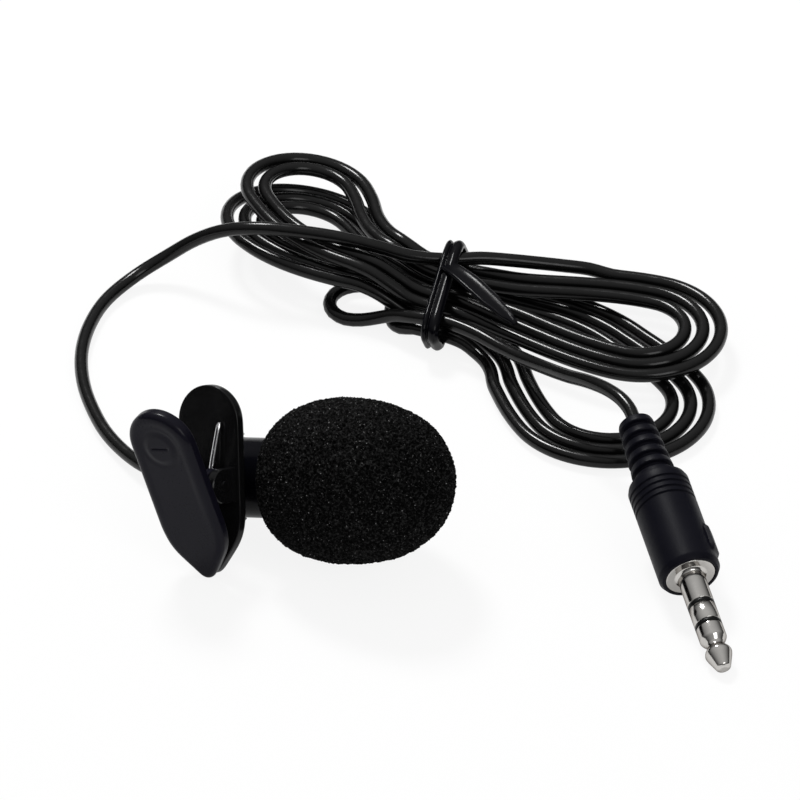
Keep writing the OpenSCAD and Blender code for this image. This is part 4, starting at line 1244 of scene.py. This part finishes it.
HEAD_LOOKS = {
    "hinge_pin": PIN_STEEL,
    "mic_barrel": BARREL_BLACK,
    "barrel_back_cap": BARREL_BLACK,
    "cord_grommet": RUBBER,
    "cord_tail": CORD,
    "cord_crimp": BRASS,
    "wire_cores": CORE,
    "solder_joints": SOLDER,
    "capsule_board": BOARD,
    "electret_capsule": ALUMINIUM,
    "capsule_ring": RUBBER,
    "felt_disc": FELT,
    "grille_mesh": MESH_STEEL,
    "front_grille": BARREL_BLACK,
}
PLUG_LOOKS = {
    "tip_terminal": BRASS,
    "ring_terminal": BRASS,
    "sleeve_terminal": BRASS,
    "plug_cores": CORE,
    "plug_cord_tail": CORD,
    "inner_mould": MOULD,
}
for name, look in {**HEAD_LOOKS, **PLUG_LOOKS}.items():
    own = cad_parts[name]
    if not own.data.materials:
        own.data.materials.append(look)
    for slot in own.material_slots:
        slot.material = look


# ---- Floor, world and lamps ----

FLOOR_HALF = 4.0
FLOOR_DROP = 0.00003
FLOOR_GREY = 0.9
# How much of the floor's own white replaces its lit paint, for the camera and in gloss.
FLOOR_GLOW, FLOOR_GLOSS = 0.88, 0.5
# Height on the world's sphere, and the light that comes from there.
ROOM_HEIGHTS, ROOM_LEVELS = (0.15, 1.0), (0.05, 0.68)


def floor_material():
    """A pale floor that keeps shadows. It is whitened for the camera, and by half as much in
    reflections, without more light on the object."""
    material = bpy.data.materials.new("floor")
    material.use_nodes = True
    tree = material.node_tree
    tree.nodes.clear()
    rays = node(tree, "ShaderNodeLightPath").outputs
    shine = maths(tree, "MULTIPLY", rays["Is Glossy Ray"], FLOOR_GLOSS)
    seen = maths(tree, "ADD", rays["Is Camera Ray"], shine)
    seen = maths(tree, "ADD", seen, rays["Is Transmission Ray"], use_clamp=True)
    share = maths(tree, "MULTIPLY", seen, FLOOR_GLOW)
    paint = node(tree, "ShaderNodeBsdfDiffuse", {"Color": (*[FLOOR_GREY] * 3, 1)})
    glow = node(tree, "ShaderNodeEmission", {"Color": WHITE, "Strength": 1.0})
    inputs = {0: share, 1: paint.outputs[0], 2: glow.outputs[0]}
    both = node(tree, "ShaderNodeMixShader", inputs)
    node(tree, "ShaderNodeOutputMaterial", {"Surface": both.outputs[0]})
    return material


def make_floor():
    """A square floor just under the lowest point."""
    z = min(0.0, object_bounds()[0].z) - FLOOR_DROP
    corners = [(-1, -1), (1, -1), (1, 1), (-1, 1)]
    mesh = bpy.data.meshes.new("floor")
    mesh.from_pydata([(x * FLOOR_HALF, y * FLOOR_HALF, z) for x, y in corners], [], [(0, 1, 2, 3)])
    mesh.materials.append(floor_material())
    floor = bpy.data.objects.new("floor", mesh)
    scene.collection.objects.link(floor)


def make_world():
    """White to the camera; to the object a soft room, brighter above than at the sides."""
    world = bpy.data.worlds.new("world")
    scene.world = world
    world.use_nodes = True
    tree = world.node_tree
    tree.nodes.clear()
    rays = node(tree, "ShaderNodeLightPath").outputs
    where = node(tree, "ShaderNodeTexCoord").outputs["Generated"]
    height = node(tree, "ShaderNodeSeparateXYZ", {0: where}).outputs["Z"]
    level = ranged(tree, height, ROOM_HEIGHTS, ROOM_LEVELS)
    room = node(tree, "ShaderNodeBackground", {"Color": WHITE, "Strength": level})
    white = node(tree, "ShaderNodeBackground", {"Color": WHITE, "Strength": 1.0})
    inputs = {0: rays["Is Camera Ray"], 1: room.outputs[0], 2: white.outputs[0]}
    both = node(tree, "ShaderNodeMixShader", inputs)
    node(tree, "ShaderNodeOutputWorld", {"Surface": both.outputs[0]})


def lamp(name, place, size, power):
    """A square lamp that points at the camera's target; size in metres, power in watts."""
    data = bpy.data.lights.new(name, "AREA")
    data.shape = "RECTANGLE"
    data.size = data.size_y = size
    data.energy = power
    obj = bpy.data.objects.new(name, data)
    obj.location = place
    obj.rotation_euler = (TARGET - Vector(place)).to_track_quat("-Z", "Y").to_euler()
    scene.collection.objects.link(obj)


make_floor()
make_world()
lamp("key", place=(-0.2, 0.5, 0.75), size=0.2, power=6.0)
lamp("fill", place=(0.5, -0.7, 0.7), size=0.5, power=2.5)
scene.view_settings.view_transform = "Standard"
